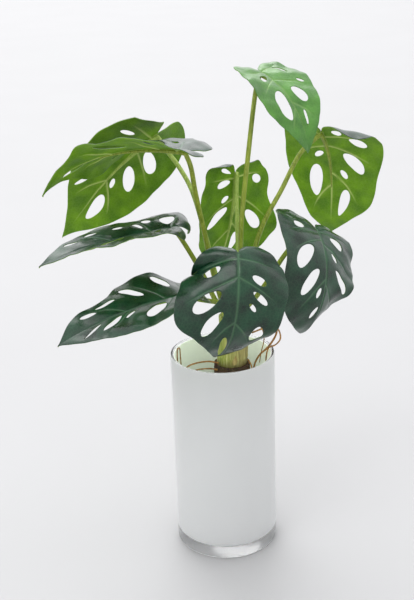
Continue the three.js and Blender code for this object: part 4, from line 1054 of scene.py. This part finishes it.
for letter, leaf in leaves.items():
    stations = rib_of(leaf)
    place, forward, up, _ = (Vector(v) for v in stations[0])
    foot = socket_place(leaf["bearing"])
    end = place - up * (blade_thickness / 2 + gap + stalk_radius) - forward * gap
    route = [Vector((foot.x, foot.y, z)) for z in
             (trunk_top - socket_depth + gap, trunk_top - 2 * MM, trunk_top + 5 * MM)]
    route += [Vector(p) * MM for p in leaf["stalk"]] + [end]
    stalk_path = smooth_path(route, 3 * MM)
    rib_path = []
    for i in range(1, rib_parts + 1):
        share = i / rib_parts
        at, _, up_here, _ = (Vector(v[0]) for v in station_at(stations, np.array([rib_reach * share])))
        rib_path.append(at - up_here * (stalk_radius * narrowing(share) + rib_below_middle))
    stalk_length = sum((b - a).length for a, b in zip(stalk_path, stalk_path[1:]))
    rib_length = sum((b - a).length for a, b in zip([stalk_path[-1]] + rib_path, rib_path))
    meeting = stalk_length / (stalk_length + rib_length)

    def stalk_size(share, angle):
        if share < meeting:
            return stalk_radius * (1.02 - 0.14 * share / meeting)
        return stalk_radius * narrowing((share - meeting) / (1 - meeting))

    material = pale_stalk if letter in "cf" else olive_stalk
    slot = "pale_stalk" if letter in "cf" else "stalk"
    stalk_mesh = tube(stalk_path + rib_path, stalk_size, 20)
    new_piece(f"leaf_stalk_{letter}", *stalk_mesh, [material], slot, [f"stalk_{letter}"])


# Roots: thin brown wires that leave the trunk and the soil, some looping over the vase's lip.
# They are woody, a little knotted, and taper towards their ends.

# Each root's radius and the points that it runs through, in millimetres.
roots = {
    "root_left": (0.9, [(-3.8, -10, 192.5), (-15, -10, 194.3), (-33, -10, 190), (-40.5, -11, 181),
                        (-41.5, -10, 168)]),
    "root_left_lower": (0.8, [(-5.2, -12.4, 186.5), (-14, -13.5, 188.5), (-29, -13.5, 186),
                              (-38, -14, 176)]),
    "root_left_loop": (0.8, [(-42.5, 0, 174), (-43.3, 1, 194), (-42.6, 3, 203), (-41, 6, 202),
                             (-40.5, 8, 192), (-40, 9, 176)]),
    "root_right": (1.2, [(28.6, 3, 226), (38, 6, 231), (50, 8, 226), (52.5, 8, 214), (48, 7, 205),
                         (42, 6, 198), (36.5, 6, 193), (31.5, 6, 184), (29.5, 6, 174)]),
    "root_right_outer": (0.9, [(28.4, -2, 219), (40, -2, 223), (53, 0, 221), (55.5, 0, 211),
                               (51, 0, 205), (44.5, 0, 202), (42, 0, 194), (41.5, 0, 184), (41, 0, 172)]),
    "root_right_thin": (0.6, [(26.3, 9, 223), (36, 12, 221), (40.5, 12, 212), (40.5, 11.5, 204),
                              (38, 11, 194), (36, 11, 182)]),
    "root_front": (0.8, [(24.2, -8, 194), (27, -8.5, 188), (29, -8, 176)]),
}

root_material = fibrous("root", (500.0, 200.0), colour(122, 80, 32), colour(190, 134, 66),
                        pale=colour(230, 188, 120), pale_end=0.9, pale_share=0.6, rough=(0.45, 0.7),
                        relief=0.5)

for seed, (name, (radius, points)) in enumerate(roots.items()):
    path = smooth_path([Vector(p) * MM for p in points], 1.2 * MM)

    def root_size(share, angle):
        knots = noise.noise(Vector((share * 22, seed * 7.3, math.cos(angle) * 0.4)))
        return radius * MM * (0.95 + 0.22 * knots) * (1 - 0.25 * share)

    new_piece(f"wire_{name}", *tube(path, root_size, 12), [root_material], "root", [name])


# Floor and light: a pale table under a bright, soft studio sky that is brightest above and behind, with
# a soft sun from the front left and a stronger one from behind.

floor_material, tree, shader = new_material("floor")
shade = cloudy(tree, object_place(tree), 3.0, 2.0)
give(tree, shader, {"Base Color": mix_colours(tree, shade, colour(181, 181, 182), colour(185, 185, 186)),
                    "Roughness": 0.6})
half = 12.0
floor_height = -0.2 * MM
floor_corners = [(x * half, y * half, floor_height) for x, y in ((-1, -1), (1, -1), (1, 1), (-1, 1))]
floor_mesh = bpy.data.meshes.new("floor")
floor_mesh.from_pydata(floor_corners, [], [(0, 1, 2, 3)])
floor_mesh.materials.append(floor_material)
floor = bpy.data.objects.new("floor", floor_mesh)
bpy.context.collection.objects.link(floor)

world = bpy.data.worlds.new("studio")
world.use_nodes = True
tree = world.node_tree
direction = tree.nodes.new("ShaderNodeTexCoord").outputs["Generated"]
_, backward, upward = add_node(tree, "ShaderNodeSeparateXYZ", Vector=direction).outputs
upper_back = reckon(tree, "MULTIPLY_ADD", backward, 0.5, upward)
give(tree, tree.nodes["Background"], {"Color": (0.985, 0.985, 1, 1),
                                      "Strength": remap(tree, upper_back, 0.3, 1.1, 1.0, 1.55)})
bpy.context.scene.world = world


def add_sun(name, towards, softness, strength):
    """Even light from one side of the room, as from a very large, far softbox."""
    sun = bpy.data.lights.new(name, "SUN")
    sun.angle = math.radians(softness)
    sun.energy = strength
    holder = bpy.data.objects.new(name, sun)
    holder.rotation_euler = Vector(towards).to_track_quat("-Z", "Y").to_euler()
    bpy.context.collection.objects.link(holder)


add_sun("key", (0.55, 0.62, -1), 30, 0.6)
add_sun("back", (0.15, -0.85, -1), 40, 1.1)
